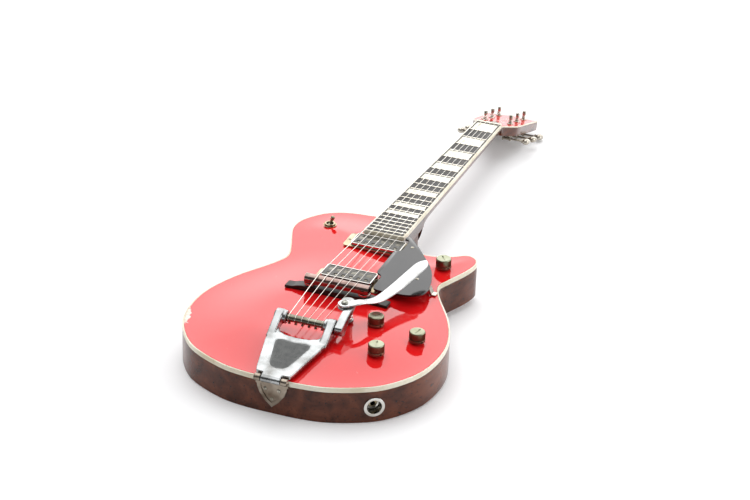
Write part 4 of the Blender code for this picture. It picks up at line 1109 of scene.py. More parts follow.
def merged(main, *others):
    """Put other objects' meshes into the first one."""
    shape = bmesh.new()
    finishes = []
    for made in (main, *others):
        first_face = len(shape.faces)
        shape.from_mesh(made.data)
        shape.faces.ensure_lookup_table()
        used = list(made.data.materials) or [None]
        for face_made in shape.faces[first_face:]:
            finish = used[min(face_made.material_index, len(used) - 1)]
            if finish not in finishes:
                finishes.append(finish)
            face_made.material_index = finishes.index(finish)
    mesh = bpy.data.meshes.new(main.name)
    shape.to_mesh(mesh)
    shape.free()
    for finish in finishes:
        mesh.materials.append(finish)
    main.data = mesh
    for made in others:
        bpy.data.objects.remove(made)
    shade(main)
    return main


post_profile = eased([(0, 14.0), (2.5, 14.0), (3.0, 13.2), (3.0, 9.0), (2.4, 7.6), (2.4, 4.4), (3.0, 3.2),
                      (3.0, GEAR_LEVEL + 2.2), (4.2, GEAR_LEVEL + 2.2), (4.2, GEAR_LEVEL - 2),
                      (0, GEAR_LEVEL - 2)],
                     0.25, 2)
wheel_profile = [(0, GEAR_LEVEL + 1.6), (5.3, GEAR_LEVEL + 1.6), (5.3, GEAR_LEVEL - 1.6),
                 (0, GEAR_LEVEL - 1.6)]
worm_profile = [(0, 13.8), (2.0, 13.8)]
for k in range(37):
    worm_profile.append((2.0 + 0.6 * (k % 3 == 1), 14.4 + k * 0.32))
worm_profile += [(2.3, 26.2), (1.5, 26.6), (1.5, 44.6), (3.2, 45.2), (3.4, 47.0), (2.4, 47.6), (0, 47.6)]
for number, name in enumerate(STRING_NAMES):
    side = -1 if number < 3 else 1
    s = POST_PLACES[number] if number < 3 else POST_PLACES[5 - number]
    stand = to_head @ Matrix.Translation((side * POST_X, s, 0))
    post = piece("post_" + name, turned(post_profile, 32), tuner_nickel, stand)
    string_hole = turned([(0, 5), (0.9, 5), (0.9, -5), (0, -5)], 16)
    lying = stand @ Matrix.Translation((0, 0, 6.2)) @ Matrix.Rotation(pi / 2, 4, "Y")
    carve(post, [piece("hole", string_hole, None, lying)])
    wheel = piece("wheel", turned(wheel_profile, 40), worn_brass, stand)
    tooth = prism([(-0.3, -0.52), (0.68, -0.24), (0.68, 0.24), (-0.3, 0.52)], GEAR_LEVEL - 1.5,
                  GEAR_LEVEL + 1.5)
    teeth = ribbed("teeth", tooth, 24, 5.3, worn_brass, stand)
    screw_head = turned(eased([(0, GEAR_LEVEL - 1.9), (0, GEAR_LEVEL - 1.99), (2.2, GEAR_LEVEL - 1.99),
                               (2.2, GEAR_LEVEL - 1.5), (0, GEAR_LEVEL - 1.5)][1:], 0.1, 1), 20)
    merged(post, wheel, teeth, piece("screw", screw_head, screw_metal, stand))
    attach(post, "tuner_post_" + name)
    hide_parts("tuner_post_" + name)

    lie = (to_head @ Matrix.Translation((0, s - WORM_OFFSET, GEAR_LEVEL))
           @ Matrix.Rotation(side * pi / 2, 4, "Y"))
    key = piece("key_" + name, turned(worm_profile, 24), tuner_nickel, lie)
    button_rows = []
    for k in range(15):
        share = k / 14
        swell = sin(pi * (0.06 + 0.88 * share)) ** 0.55
        level = 47.0 + 11.5 * share
        button_rows.append([(6.2 * swell * cos(2 * pi * i / 32) * (0.55 + 0.45 * abs(sin(2 * pi * i / 32)) ** 0.8),
                             9.0 * swell * sin(2 * pi * i / 32), level) for i in range(32)])
    merged(key, piece("button", lofted(button_rows), tuner_nickel, lie))
    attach(key, "tuner_key_" + name)
    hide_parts("tuner_key_" + name)

plate_screws = []
for side, label in ((-1, "bass"), (1, "treble")):
    strip_loop = round_box(15, 102, 3, (side * (POST_X + 0.5), POST_PLACES[1] - 3), 5)
    strip = piece("tuner_strip_" + label, prism(strip_loop, PLATE_LEVEL - 1.5, PLATE_LEVEL, 0.3, 2),
                  tuner_nickel,
                  to_head)
    cuts = []
    for s in POST_PLACES:
        cuts.append(piece("hole", turned([(0, -8), (3.3, -8), (3.3, -22), (0, -22)], 28), None,
                          to_head @ Matrix.Translation((side * POST_X, s, 0))))
    carve(strip, cuts)
    ears = []
    for s in POST_PLACES:
        for x in (side * (POST_X - 5.2), side * (POST_X + 6.4)):
            ears.append(piece("ear", block((x - 0.8, s - 12.6, GEAR_LEVEL - 3.2),
                                           (x + 0.8, s - 5.4, PLATE_LEVEL - 1.0),
                                           0.25, 1), tuner_nickel, to_head))
    ear_cuts = [piece("bore", turned([(0, 60), (1.8, 60), (1.8, -60), (0, -60)], 20), None,
                      to_head @ Matrix.Translation((0, s - WORM_OFFSET,
                                                    GEAR_LEVEL)) @ Matrix.Rotation(pi / 2, 4, "Y"))
                for s in POST_PLACES]
    carve(strip, ears, "UNION")
    carve(strip, ear_cuts)
    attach(strip, "root")
    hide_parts("tuner_plate_" + label)
    for s in (34.5, 63, 101, 130.5):
        plate_screws.append((to_head @ Vector((side * (POST_X + 0.5), s, PLATE_LEVEL - 1.45)), -head_up))
scattered("tuner_strip_screws", slotted_screw(1.7, 0.8), plate_screws, screw_metal, "root", seed=5)
bushes = [(to_head @ Vector((side * POST_X, s, -0.05)), head_up) for side in (-1, 1) for s in POST_PLACES]
bush_profile = eased([(3.35, 0), (3.35, 1.5), (4.2, 1.6), (5.2, 0.9), (5.2, 0)], 0.3, 2)
scattered("post_bushes", turned(bush_profile, 32), bushes, tuner_nickel, "root", seed=6)

# ---- strings -------------------------------------------------------------------------------------
# Six nickel-wound and plain steel strings.  Each is wound on its post, bends over nut and bridge, runs
# over the string bar and down its back, and is held there on a peg by the ball at its end.
BAR_Y = -108.0
BAR_Z = 73.5
BAR_RADIUS = 4.8
BAR_SPREAD = 22.0
BRIDGE_Y = -3.0
BRIDGE_SPREAD = 26.5
BRIDGE_TOP = 80.0


def string_steel(name, winding_mm):
    """Bright string metal; a wound string has fine turns along its length."""
    finish, tree, shader = set_finish(name, (0.86, 0.84, 0.79), 0.2, metallic=1.0)
    age = mottle(tree, where(tree, (0.01, 0.03, 0.01)), 1.0, 4.0)
    tree.links.new(shades(tree, age, [(0.4, (0.88, 0.86, 0.81)), (0.75, (0.62, 0.57, 0.48))]),
                   shader.inputs["Base Color"])
    tree.links.new(between(tree, age, 0.12, 0.34), shader.inputs["Roughness"])
    if winding_mm:
        turns = tree.nodes.new("ShaderNodeTexWave")
        turns.bands_direction = "Y"
        turns.inputs["Scale"].default_value = 0.314 * 1000.0 / winding_mm / pi
        tree.links.new(where(tree), turns.inputs["Vector"])
        relief(tree, shader, turns.outputs["Fac"], 0.15, 0.8)
    else:
        relief(tree, shader, age, 0.02, 0.1)
    return finish


wound = string_steel("wound_string", 0.6)
plain = string_steel("plain_string", 0.0)


def round_section(radius, sides=10):
    return [(radius * cos(2 * pi * i / sides), radius * sin(2 * pi * i / sides)) for i in range(sides)]


# A coil rule: wire of one thickness climbs round a circle, as on a string post or in a spring.
coil_tree, given, output = rule("coil", [("Turns", "Float"), ("Coil radius", "Float"), ("Height", "Float"),
                                         ("Wire", "Float"), ("Points per turn", "Int"),
                                         ("Finish", "Material")])
spiral = node(coil_tree, "GeometryNodeCurveSpiral")
wire_round = node(coil_tree, "GeometryNodeCurvePrimitiveCircle")
wire_round.inputs["Resolution"].default_value = 10
tube = node(coil_tree, "GeometryNodeCurveToMesh")
tube.inputs["Fill Caps"].default_value = True
join = coil_tree.links.new
join(given.outputs["Points per turn"], spiral.inputs["Resolution"])
join(given.outputs["Turns"], spiral.inputs["Rotations"])
join(given.outputs["Coil radius"], spiral.inputs["Start Radius"])
join(given.outputs["Coil radius"], spiral.inputs["End Radius"])
join(given.outputs["Height"], spiral.inputs["Height"])
join(given.outputs["Wire"], wire_round.inputs["Radius"])
join(spiral.outputs["Curve"], tube.inputs["Curve"])
join(wire_round.outputs["Curve"], tube.inputs["Profile Curve"])
finish_rule(coil_tree, given, tube.outputs["Mesh"], output)


def coiled(name, turns, radius, height, wire, finish, place, per_turn=24):
    """A coil standing at a place given in millimetres."""
    in_metres = Matrix.Translation(place.translation * MM) @ place.to_3x3().to_4x4()
    made = grown(name, coil_tree, nothing,
                 {"Turns": float(turns), "Coil radius": radius * MM, "Height": height * MM, "Wire": wire * MM,
                  "Points per turn": per_turn, "Finish": finish}, in_metres)
    turn_out(made)
    return made


def turn_out(made):
    """Point a converted mesh's faces outwards."""
    shape = bmesh.new()
    shape.from_mesh(made.data)
    bmesh.ops.remove_doubles(shape, verts=shape.verts, dist=1e-7)
    bmesh.ops.recalc_face_normals(shape, faces=shape.faces)
    shape.to_mesh(made.data)
    shape.free()


for number, (name, radius) in enumerate(zip(STRING_NAMES, STRING_RADII)):
    spread = (number - 2.5) / 2.5
    side = -1 if number < 3 else 1
    s = POST_PLACES[number] if number < 3 else POST_PLACES[5 - number]
    metal = wound if number < 4 else plain
    lift = radius + 0.3
    post_end = to_head @ Vector((side * (POST_X - 2.4 - lift + 0.28), s, 6.0))
    nut_back = to_neck @ Vector((spread * NUT_SPREAD, SCALE_LENGTH + 5.0, 0.7 + lift))
    nut_front = to_neck @ Vector((spread * NUT_SPREAD, SCALE_LENGTH, 0.7 + lift))
    saddle = Vector((spread * BRIDGE_SPREAD, BRIDGE_Y, BRIDGE_TOP + lift))
    bar_top = Vector((spread * BAR_SPREAD, BAR_Y, BAR_Z + BAR_RADIUS + radius + 0.05))
    path = [post_end]
    for first, corner, last in ((post_end, nut_back, nut_front), (nut_back, nut_front, saddle),
                                (nut_front, saddle, bar_top)):
        before = (first - corner).normalized() * min(3.0, (first - corner).length * 0.4)
        after = (last - corner).normalized() * min(3.0, (last - corner).length * 0.4)
        path += [corner + before, corner + (before + after) * 0.12, corner + after]
    path.append(bar_top)
    string = piece("plucked_string_" + name, swept(path, round_section(radius)), metal)
    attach(string, "root")
    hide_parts("string_" + name)

    stand = to_head @ Matrix.Translation((side * POST_X, s, 6.0 - radius * 2.0))
    turns_on_post = coiled("post_turns_" + name, 2.2, 2.4 + radius, radius * 4.2, radius, metal, stand)
    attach(turns_on_post, "tuner_post_" + name)

    wrap = [Vector((bar_top.x, BAR_Y + (BAR_RADIUS + radius + 0.05) * cos(a),
                    BAR_Z + (BAR_RADIUS + radius + 0.05) * sin(a)))
            for a in [radians(90 + 170 * i / 14) for i in range(15)]]
    back = piece("bar_wrap_" + name, swept(wrap, round_section(radius), up=(1, 0, 0)), metal)
    ball = turned(eased([(0, 1.5), (1.6, 1.5), (1.6, -1.5), (0, -1.5)], 0.4, 3), 24)
    seat = Matrix.Translation((bar_top.x, wrap[-1].y, wrap[-1].z - 1.4)) @ Matrix.Rotation(pi / 2, 4, "Y")
    merged(back, piece("ball", ball, worn_brass, seat))
    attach(back, "string_bar")

# ---- pickups -------------------------------------------------------------------------------------
# Two single-coil pickups.  Each has a deep plated housing with a flange screwed to the top, a dark
# moulded coil top, six large magnet poles and a row of six screws that raise and lower them.
FLANGE_LOW = 57.3
PICKUP_LENGTH = 70.0
PICKUP_WIDTH = 31.0
WALL = 1.8
chrome = plated("chrome_plate", (0.66, 0.65, 0.62), (0.50, 0.47, 0.42), 0.05, 0.16, 0.9, 45.0)
flange_nickel = plated("flange_nickel", (0.46, 0.40, 0.27), (0.26, 0.19, 0.11), 0.16, 0.4, 0.7, 60.0)
coil_top, tree, shader = set_finish("coil_top", (0.035, 0.035, 0.033), 0.3)
tree.links.new(shades(tree, mottle(tree, where(tree), 80.0, 5.0),
                      [(0.35, (0.030, 0.029, 0.024)), (0.7, (0.075, 0.070, 0.054))]),
                      shader.inputs["Base Color"])
tree.links.new(between(tree, mottle(tree, where(tree), 200.0, 4.0), 0.16, 0.42), shader.inputs["Roughness"])
relief(tree, shader, mottle(tree, where(tree), 800.0, 3.0), 0.04, 0.2)
pole_metal = plated("pole_magnets", (0.20, 0.19, 0.16), (0.09, 0.08, 0.06), 0.25, 0.5, 0.5, 120.0)
poles = []
pole_screws = []
flange_screws = []
for label, (y, height) in PICKUPS.items():
    outer_path = [(px, py, 0) for px, py in round_box(PICKUP_LENGTH, PICKUP_WIDTH, 3.5, (0, y), 8)]
    wall_section = eased([(0, 43.9), (0, height), (-WALL, height), (-WALL, 43.9)], 0.85, 4, closed=True)
    housing = piece("housing_" + label, swept(outer_path, wall_section, closed=True), chrome)
    collar = piece("flange_" + label, prism(round_box(90, 37, 4, (0, y), 8), FLANGE_LOW, FLANGE_LOW + 1.4,
                                            0.4, 2,
                                            rims=("high",)), flange_nickel)
    hole = prism(round_box(PICKUP_LENGTH + 0.02, PICKUP_WIDTH + 0.02, 3.5, (0, y), 8), 40, 80)
    carve(collar, [piece("hole", hole, None)])
    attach(collar, "root")
    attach(housing, "root")
    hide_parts(label + "_pickup_housing")
    coil_loop = round_box(PICKUP_LENGTH - 2 * WALL - 0.4, PICKUP_WIDTH - 2 * WALL - 0.4, 2, (0, y), 6)
    coil = piece("coil_" + label, prism(coil_loop, 37.9, height - 0.7, 0.4, 2, rims=("high",)), coil_top)
    wells = []
    for k in range(6):
        x = (k - 2.5) * 10.4
        wells.append(piece("well", prism(round_box(7.4, 7.8, 1.3, (x, y + 4.6), 4), height - 1.2,
                                         height + 3), None))
        wells.append(piece("well", prism(ring_of(2.7, 24, (x, y - 7.4)), height - 2.1, height + 3), None))
        poles.append(((x, y + 4.6, height - 1.9), (0, 0, 1)))
        pole_screws.append(((x, y - 7.4, height - 1.9), (0, 0, 1)))
    carve(coil, wells)
    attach(coil, "root")
    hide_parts(label + "_pickup_coil")
    flange_screws += [((-41, y, FLANGE_LOW + 1.4), (0, 0, 1)), ((41, y, FLANGE_LOW + 1.4), (0, 0, 1))]
pole_shape = prism(round_box(7.1, 7.5, 1.1, (0, 0), 4), -2, 1.1, 0.3, 2, rims=("high",))
scattered("magnet_poles", pole_shape, poles, pole_metal, "root", seed=7, spread=0.0)
scattered("pole_screws", slotted_screw(2.3, 1.0, 0.7), pole_screws, screw_metal, "root", seed=8)
scattered("flange_screws", slotted_screw(1.9, 0.9), flange_screws, screw_metal, "root", seed=9)

# ---- bridge --------------------------------------------------------------------------------------
# A chromed bar bridge floats on an ebony base.  Two knurled wheels on threaded studs set its height,
# and the strings' pull holds it down; nothing screws it to the top.
foot_line = [(x, height_over(x, BRIDGE_Y, 8) + 0.3) for x in range(-70, 71, 5)]
crown_line = eased([(70.5, 59.0), (70, 60.4), (60, 61.0), (53, 63.2), (47, 64.4), (-47, 64.4), (-53, 63.2),
                    (-60, 61.0), (-70, 60.4), (-70.5, 59.0)], 1.5, 3)
upright = Matrix.Translation((0, BRIDGE_Y, 0)) @ Matrix.Rotation(pi / 2, 4, "X")
base = piece("bridge_foot", prism(foot_line + crown_line, -7, 7, 0.8, 2), ebony, upright)
for side in (-1, 1):
    rod_profile = eased([(0, 75.7), (2.35, 75.7), (2.35, 60), (0, 60)], 0.3, 2)
    carve(base, [piece("stud", turned(rod_profile, 24), tuner_nickel,
                       Matrix.Translation((side * 37, BRIDGE_Y, 0)))], "UNION")
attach(base, "root")
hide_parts("bridge_base")

# Painted reflection: the chromed rail is given a dark red-brown colour that stands in for the red top and the dim
# front mirrored in it.
rail_chrome_painted_reflection = plated("rail_chrome_painted_reflection", (0.33, 0.235, 0.21), (0.17, 0.115, 0.10), 0.12, 0.3, 0.8, 70.0)
bar_section = [(-6.5, 69.0), (6.5, 69.0), (6.5, 73.5)]
bar_section += [(6.5 * cos(radians(a)), 73.5 + 6.5 * sin(radians(a))) for a in range(10, 180, 10)]
bar_section += [(-6.5, 73.5)]
stood = Matrix.Translation((0, BRIDGE_Y, 0)) @ Matrix(((0, 0, 1, 0), (1, 0, 0, 0), (0, 1, 0, 0),
                                                       (0, 0, 0, 1)))
bar = piece("bridge_rail", prism(eased(bar_section, 0.9, 3, closed=True), -43.6, 43.6, 2.6, 5),
            rail_chrome_painted_reflection, stood)
bar_cuts = [piece("pocket", block((-39.5, BRIDGE_Y - 3.6, 66), (39.5, BRIDGE_Y + 3.6, 71.4)), None),
            piece("slot", block((33.5, BRIDGE_Y - 8, 73.2), (38.5, BRIDGE_Y - 4.9, 75.0)), None)]
for side in (-1, 1):
    bar_cuts.append(piece("socket", turned([(0, 76.9), (2.7, 76.9), (2.7, 60), (0, 60)], 28), None,
                          Matrix.Translation((side * 37, BRIDGE_Y, 0))))
for number, radius in enumerate(STRING_RADII):
    notch = ring_of(radius + 0.1, 12, ((number - 2.5) / 2.5 * BRIDGE_SPREAD, BRIDGE_TOP + radius * 0.7 + 0.3))
    bar_cuts.append(piece("notch", prism(notch, -9, 9), None,
                          Matrix.Translation((0, BRIDGE_Y, 0)) @ Matrix.Rotation(pi / 2, 4, "X")))
carve(bar, bar_cuts, sharp=28)
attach(bar, "bridge_bar")
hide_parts("bridge_bar")

wheel_ring = eased([(7.5, 68.6), (7.5, 66.0), (2.7, 66.0), (2.7, 68.6)], 0.25, 2, closed=True)
for side, label in ((-1, "bass"), (1, "treble")):
    stand = Matrix.Translation((side * 37, BRIDGE_Y, 0))
    disc = piece("thumbwheel_" + label, turned(wheel_ring, 48), chrome, stand)
    ridge = prism([(-0.3, -0.36), (0.42, 0), (-0.3, 0.36)], 66.25, 68.35)
    merged(disc, ribbed("knurl", ridge, 48, 7.5, chrome, stand))
    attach(disc, "bridge_wheel_" + label)
    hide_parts("bridge_wheel_" + label)

# ---- pickguard -----------------------------------------------------------------------------------
# A flat black plastic plate floats over the treble side of the top on a bent metal bracket and a block
# by the neck, with one screw into each.
guard_points = [(39.5, 18), (53, 16.2), (70.4, 17.6), (86, 18.6), (98, 24), (104.6, 33), (106.4, 48),
                (102.6, 69), (95.3, 90), (84.7, 110), (73.3, 125.5), (62, 141), (50, 157), (40, 169.5),
                (34, 173.5), (31, 170), (30.6, 164.5), (39, 164), (39, 129), (29.5, 128.5), (29, 60),
                (39, 57)]
guard_loop = eased(guard_points, 7.0, 6, closed=True)
guard = piece("guard_plate", prism(guard_loop, 63.0, 65.6, 0.55, 3, rims=("high",)), black_plastic)
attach(guard, "root")
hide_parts("pickguard")
scattered("guard_screws", slotted_screw(2.5, 1.1), [((48.5, 145, 65.55), (0, 0, 1)),
                                                    ((83.7, 65, 65.55), (0, 0, 1))],
          screw_metal, "root", seed=11)

guard_skin = arch_height(104, 63) + 0.3
bracket_loop = eased([(88, 62.7), (101, 62.7), (106.5, guard_skin + 1.8), (112, guard_skin + 1.8),
                      (112, guard_skin),
                      (104.5, guard_skin), (99.5, 60.7), (88, 60.7)], 0.6, 3, closed=True)
bent = piece("guard_bracket", prism(bracket_loop, -4.5, 4.5, 0.3, 2), tuner_nickel,
             Matrix.Translation((0, 63, 0)) @ Matrix.Rotation(pi / 2, 4, "X"))
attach(bent, "root")
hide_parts("pickguard_bracket")

# ---- vibrato tailpiece: tail bracket and cast frame ----------------------------------------------
# A sand-cast and polished aluminium tailpiece.  A shield-shaped bracket is screwed to the tail, and the
# frame hinges on it with a steel pin; its two arms end in round hubs that carry the string bar.
cast_metal, tree, shader = set_finish("polished_casting", (0.5, 0.5, 0.5), 0.25, metallic=1.0)
cloud = mottle(tree, where(tree), 32.0, 6.0)
tree.links.new(shades(tree, cloud, [(0.32, (0.46, 0.475, 0.48)), (0.5, (0.34, 0.35, 0.35)),
                                    (0.68, (0.17, 0.168, 0.16))]),
               shader.inputs["Base Color"])
tree.links.new(between(tree, mottle(tree, where(tree), 110.0, 5.0), 0.16, 0.38), shader.inputs["Roughness"])
pits = mask(tree, mottle(tree, where(tree), 900.0, 3.0), 0.62, 0.72)
relief(tree, shader, sum_of(tree, mottle(tree, where(tree), 60.0, 3.0), pits, "SUBTRACT", 0.3), 0.12, 0.35)

# Painted reflection: the tail shield faces the dim front, so its casting metal is a darker, browner copy of the
# aluminium colour, standing in for the dark reflection there.
shield_painted_dark = plated("shield_casting_painted_dark", (0.31, 0.265, 0.215), (0.11, 0.075, 0.05), 0.22, 0.5, 0.7, 48.0)


def cast_copy(name, node_name, finish, voxel_mm, rounds=14):
    """The plain solid of a casting, with its edges rounded all over as a polishing wheel leaves them."""
    source = bpy.data.objects[node_name]
    graph = bpy.context.evaluated_depsgraph_get()
    mesh = bpy.data.meshes.new_from_object(source.evaluated_get(graph))
    mesh.transform(source.matrix_world)
    made = bpy.data.objects.new(name, mesh)
    scene.collection.objects.link(made)
    remesh = made.modifiers.new("voxels", "REMESH")
    remesh.mode = "VOXEL"
    remesh.voxel_size = voxel_mm * MM
    smooth = made.modifiers.new("polish", "SMOOTH")
    smooth.factor = 0.5
    smooth.iterations = rounds
    settle(made)
    made.data.materials.clear()
    made.data.materials.append(finish)
    for face_made in made.data.polygons:
        face_made.material_index = 0
        face_made.use_smooth = True
    return made


casting = cast_copy("cast_frame", "vibrato_frame", cast_metal, 0.7)
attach(casting, "root")
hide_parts("vibrato_frame")

shield = cast_copy("tail_shield", "tail_bracket", shield_painted_dark, 0.6, 8)
dish = [(-14.5, 41.5), (14.5, 41.5), (14, 35), (11.5, 28.5), (6, 21), (0, 15.5), (-6, 21), (-11.5, 28.5),
        (-14, 35)]
tail_wall = Matrix.Translation((0, -212.6, 0)) @ Matrix.Rotation(pi / 2, 4, "X")
carve(shield, [piece("dish", prism(eased(dish, 3, 5, closed=True), 1.5, 6), None, tail_wall)], sharp=50)
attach(shield, "root")
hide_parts("tail_bracket")
tail_screws = [(tail_wall @ Vector((x, z, 1.45)), (0, -1, 0)) for x, z in ((-9, 34), (9, 34), (0, 21.5))]
scattered("tail_screws", slotted_screw(2.6, 1.4), tail_screws, screw_metal, "root", seed=13)

# ---- vibrato tailpiece: black panel --------------------------------------------------------------
# The sunken panel of the frame is painted black and its floor is covered with plain fine ribs.
SLOPE = radians(7.0)
to_slope = Matrix.Translation((0, -217.6, 50.0)) @ Matrix.Rotation(SLOPE, 4, "X")
panel_paint, tree, shader = set_finish("panel_paint", (0.05, 0.055, 0.052), 0.3)
tree.links.new(shades(tree, mottle(tree, where(tree), 130.0, 5.0),
                      [(0.35, (0.030, 0.034, 0.032)), (0.7, (0.075, 0.080, 0.076))]),
                      shader.inputs["Base Color"])
tree.links.new(between(tree, mottle(tree, where(tree), 60.0, 3.0), 0.22, 0.4), shader.inputs["Roughness"])
relief(tree, shader, mottle(tree, where(tree), 700.0, 3.0), 0.05, 0.25)
half_panel = [(0, 17.4), (8, 18.9), (13.2, 25.2), (23.0, 66), (22.0, 72.4), (15.8, 74.5), (0, 72.6)]
panel_loop = eased(half_panel[:-1] + [(0, 72.6)] + [(-x, y) for x, y in reversed(half_panel[1:-1])], 2.2, 4,
                   closed=True)
panel_floor = piece("panel_floor", prism(panel_loop, 4.5, 4.85), panel_paint, to_slope)
ribs = []
for k in range(25):
    y = 21.5 + k * 2.1
    half = min(22.0, 13.0 + (y - 25.2) * 0.242) - 2.2 if y > 25.2 else 8.4 + (y - 19) * 0.5
    if y > 70.5:
        continue
    ribs.append(piece("rib", prism(round_box(2 * half, 0.8, 0.39, (0, y), 3), 4.6, 5.05, 0.12, 1,
                                   rims=("high",)),
                      panel_paint, to_slope))
merged(panel_floor, *ribs)
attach(panel_floor, "root")

# ---- vibrato tailpiece: string bar, rocker and spring --------------------------------------------
# The steel string bar turns in the hubs on needle bearings, with a peg for each string.  Its treble end
# is gripped by a cast rocker, whose flat top bears down on a coil spring.
bar_steel = plated("bar_steel", (0.26, 0.25, 0.20), (0.13, 0.12, 0.09), 0.16, 0.36, 0.8, 60.0)
bar_axis = Matrix.Translation((0, BAR_Y, BAR_Z)) @ Matrix.Rotation(pi / 2, 4, "Y")
shaft = piece("bar_shaft", turned(eased([(0, 49), (BAR_RADIUS, 49), (BAR_RADIUS, -41.5), (0, -41.5)], 0.6,
                                        3), 64),
              bar_steel, bar_axis)
pegs = []
for number in range(6):
    seat = (Matrix.Translation(((number - 2.5) / 2.5 * BAR_SPREAD, BAR_Y, BAR_Z))
            @ Matrix.Rotation(radians(150), 4, "X"))
    pegs.append(piece("peg", turned(eased([(0, 7.5), (0.95, 7.5), (0.95, 3.5), (0, 3.5)], 0.3, 2), 16),
                      bar_steel, seat))
merged(shaft, *pegs)
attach(shaft, "string_bar")
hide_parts("string_bar")

cap_profile = eased([(0, -41.9), (2.2, -41.9), (6.6, -40.9), (6.6, -39.7), (5.0, -39.7)], 0.3, 2)
cap = piece("bearing_cap", turned(cap_profile, 40), coil_top, bar_axis)
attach(cap, "root")

strap = cast_copy("cast_rocker", "rocker", cast_metal, 0.6, 14)
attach(strap, "string_bar")
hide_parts("rocker")

spring_steel = string_steel("spring_steel", 0.0)
spring = coiled("coil_spring", 7.0, 5.55, 19.2, 1.2, spring_steel, Matrix.Translation((37, -62, 63.6)), 30)
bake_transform(spring)
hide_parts("vibrato_spring")

# ---- vibrato arm ---------------------------------------------------------------------------------
# A flat forged aluminium handle, dished along its length and widening to a round tip.  A domed bolt
# clamps its eye to the rocker so that it swings stiffly.
PIVOT = Vector((38.5, -77.0, 89.0))
handle_metal = plated("polished_handle", (0.56, 0.565, 0.57), (0.40, 0.40, 0.39), 0.14, 0.34, 0.8, 40.0)
arm_path = [(0, 0, 0, 7.0), (6, 3, 0, 6.8), (11.5, 8, 0, 6.5), (17, 16, -1.2, 6.4), (22, 25.5, -4.5, 6.5),
            (27.5, 37, -7, 7.0), (32, 50, -8, 7.7), (38, 77, -8, 8.6), (44, 107, -6.2, 9.0),
            (49.5, 135, -4, 9.0)]
fine_path = []
for k in range(len(arm_path) - 1):
    a, b, c, d = [Vector(arm_path[min(max(k + i, 0), len(arm_path) - 1)]) for i in (-1, 0, 1, 2)]
    for step in range(8):
        t = step / 8
        spot = 2 * b + (c - a) * t + (2 * a - 5 * b + 4 * c - d) * t * t + (3 * b - a - 3 * c + d) * t ** 3
        fine_path.append(spot / 2)
tip_centre = Vector((49.5, 135.0, -4.0, 9.0))
tip_run = Vector((0.18, 0.98, 0.07, 0.0))
for k in range(15):
    quarter = pi / 2 * k / 14
    spot = tip_centre + tip_run * (10.5 * k / 14 + 8.4 * sin(quarter))
    spot.w = max(9.0 * cos(quarter) ** 0.7, 0.3)
    fine_path.append(spot)
handle_rows = []
for index, spot in enumerate(fine_path):
    ahead = fine_path[min(index + 1, len(fine_path) - 1)]
    behind = fine_path[max(index - 1, 0)]
    along = Vector((ahead.x - behind.x, ahead.y - behind.y, 0)).normalized()
    across = Vector((along.y, -along.x, 0))
    row = []
    for k in range(24):
        angle = 2 * pi * k / 24
        wide = abs(cos(angle)) ** 0.75 * (1 if cos(angle) >= 0 else -1)
        tall = abs(sin(angle)) ** 0.7 * (1 if sin(angle) >= 0 else -1)
        row.append(PIVOT + Vector(spot.xyz) + across * spot.w * wide + Vector((0, 0, 1.6 + 1.5 * tall)))
    handle_rows.append(row)
handle = piece("arm_handle", lofted(handle_rows), handle_metal)
eye_profile = eased([(0, 3.2), (8.6, 3.2), (8.6, 0), (0, 0)], 0.9, 4)
carve(handle, [piece("eye", turned(eye_profile, 56), handle_metal, Matrix.Translation(PIVOT))], "UNION",
      sharp=45)
carve(handle, [piece("bore", turned([(0, 9), (2.9, 9), (2.9, -9), (0, -9)], 28), None,
                     Matrix.Translation(PIVOT))],
      sharp=45)
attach(handle, "vibrato_arm")
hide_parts("vibrato_arm")

bolt_grey = plated("bolt_grey", (0.40, 0.40, 0.36), (0.22, 0.22, 0.18), 0.22, 0.42, 0.6, 90.0)
bolt_profile = [(0, 6.35), (1.6, 6.25), (3.0, 5.85), (4.1, 5.0), (4.55, 4.1), (4.6, 3.55), (2.6, 3.5),
                (2.6, -7.5),
                (0, -7.5)]
bolt = piece("arm_bolt_domed", turned(bolt_profile, 40), bolt_grey, Matrix.Translation(PIVOT))
carve(bolt, [piece("slot", block((-6, -0.55, 5.1), (6, 0.55, 9)), None,
                   Matrix.Translation(PIVOT) @ Matrix.Rotation(radians(35), 4, "Z"))])
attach(bolt, "vibrato_arm")
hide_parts("arm_bolt")

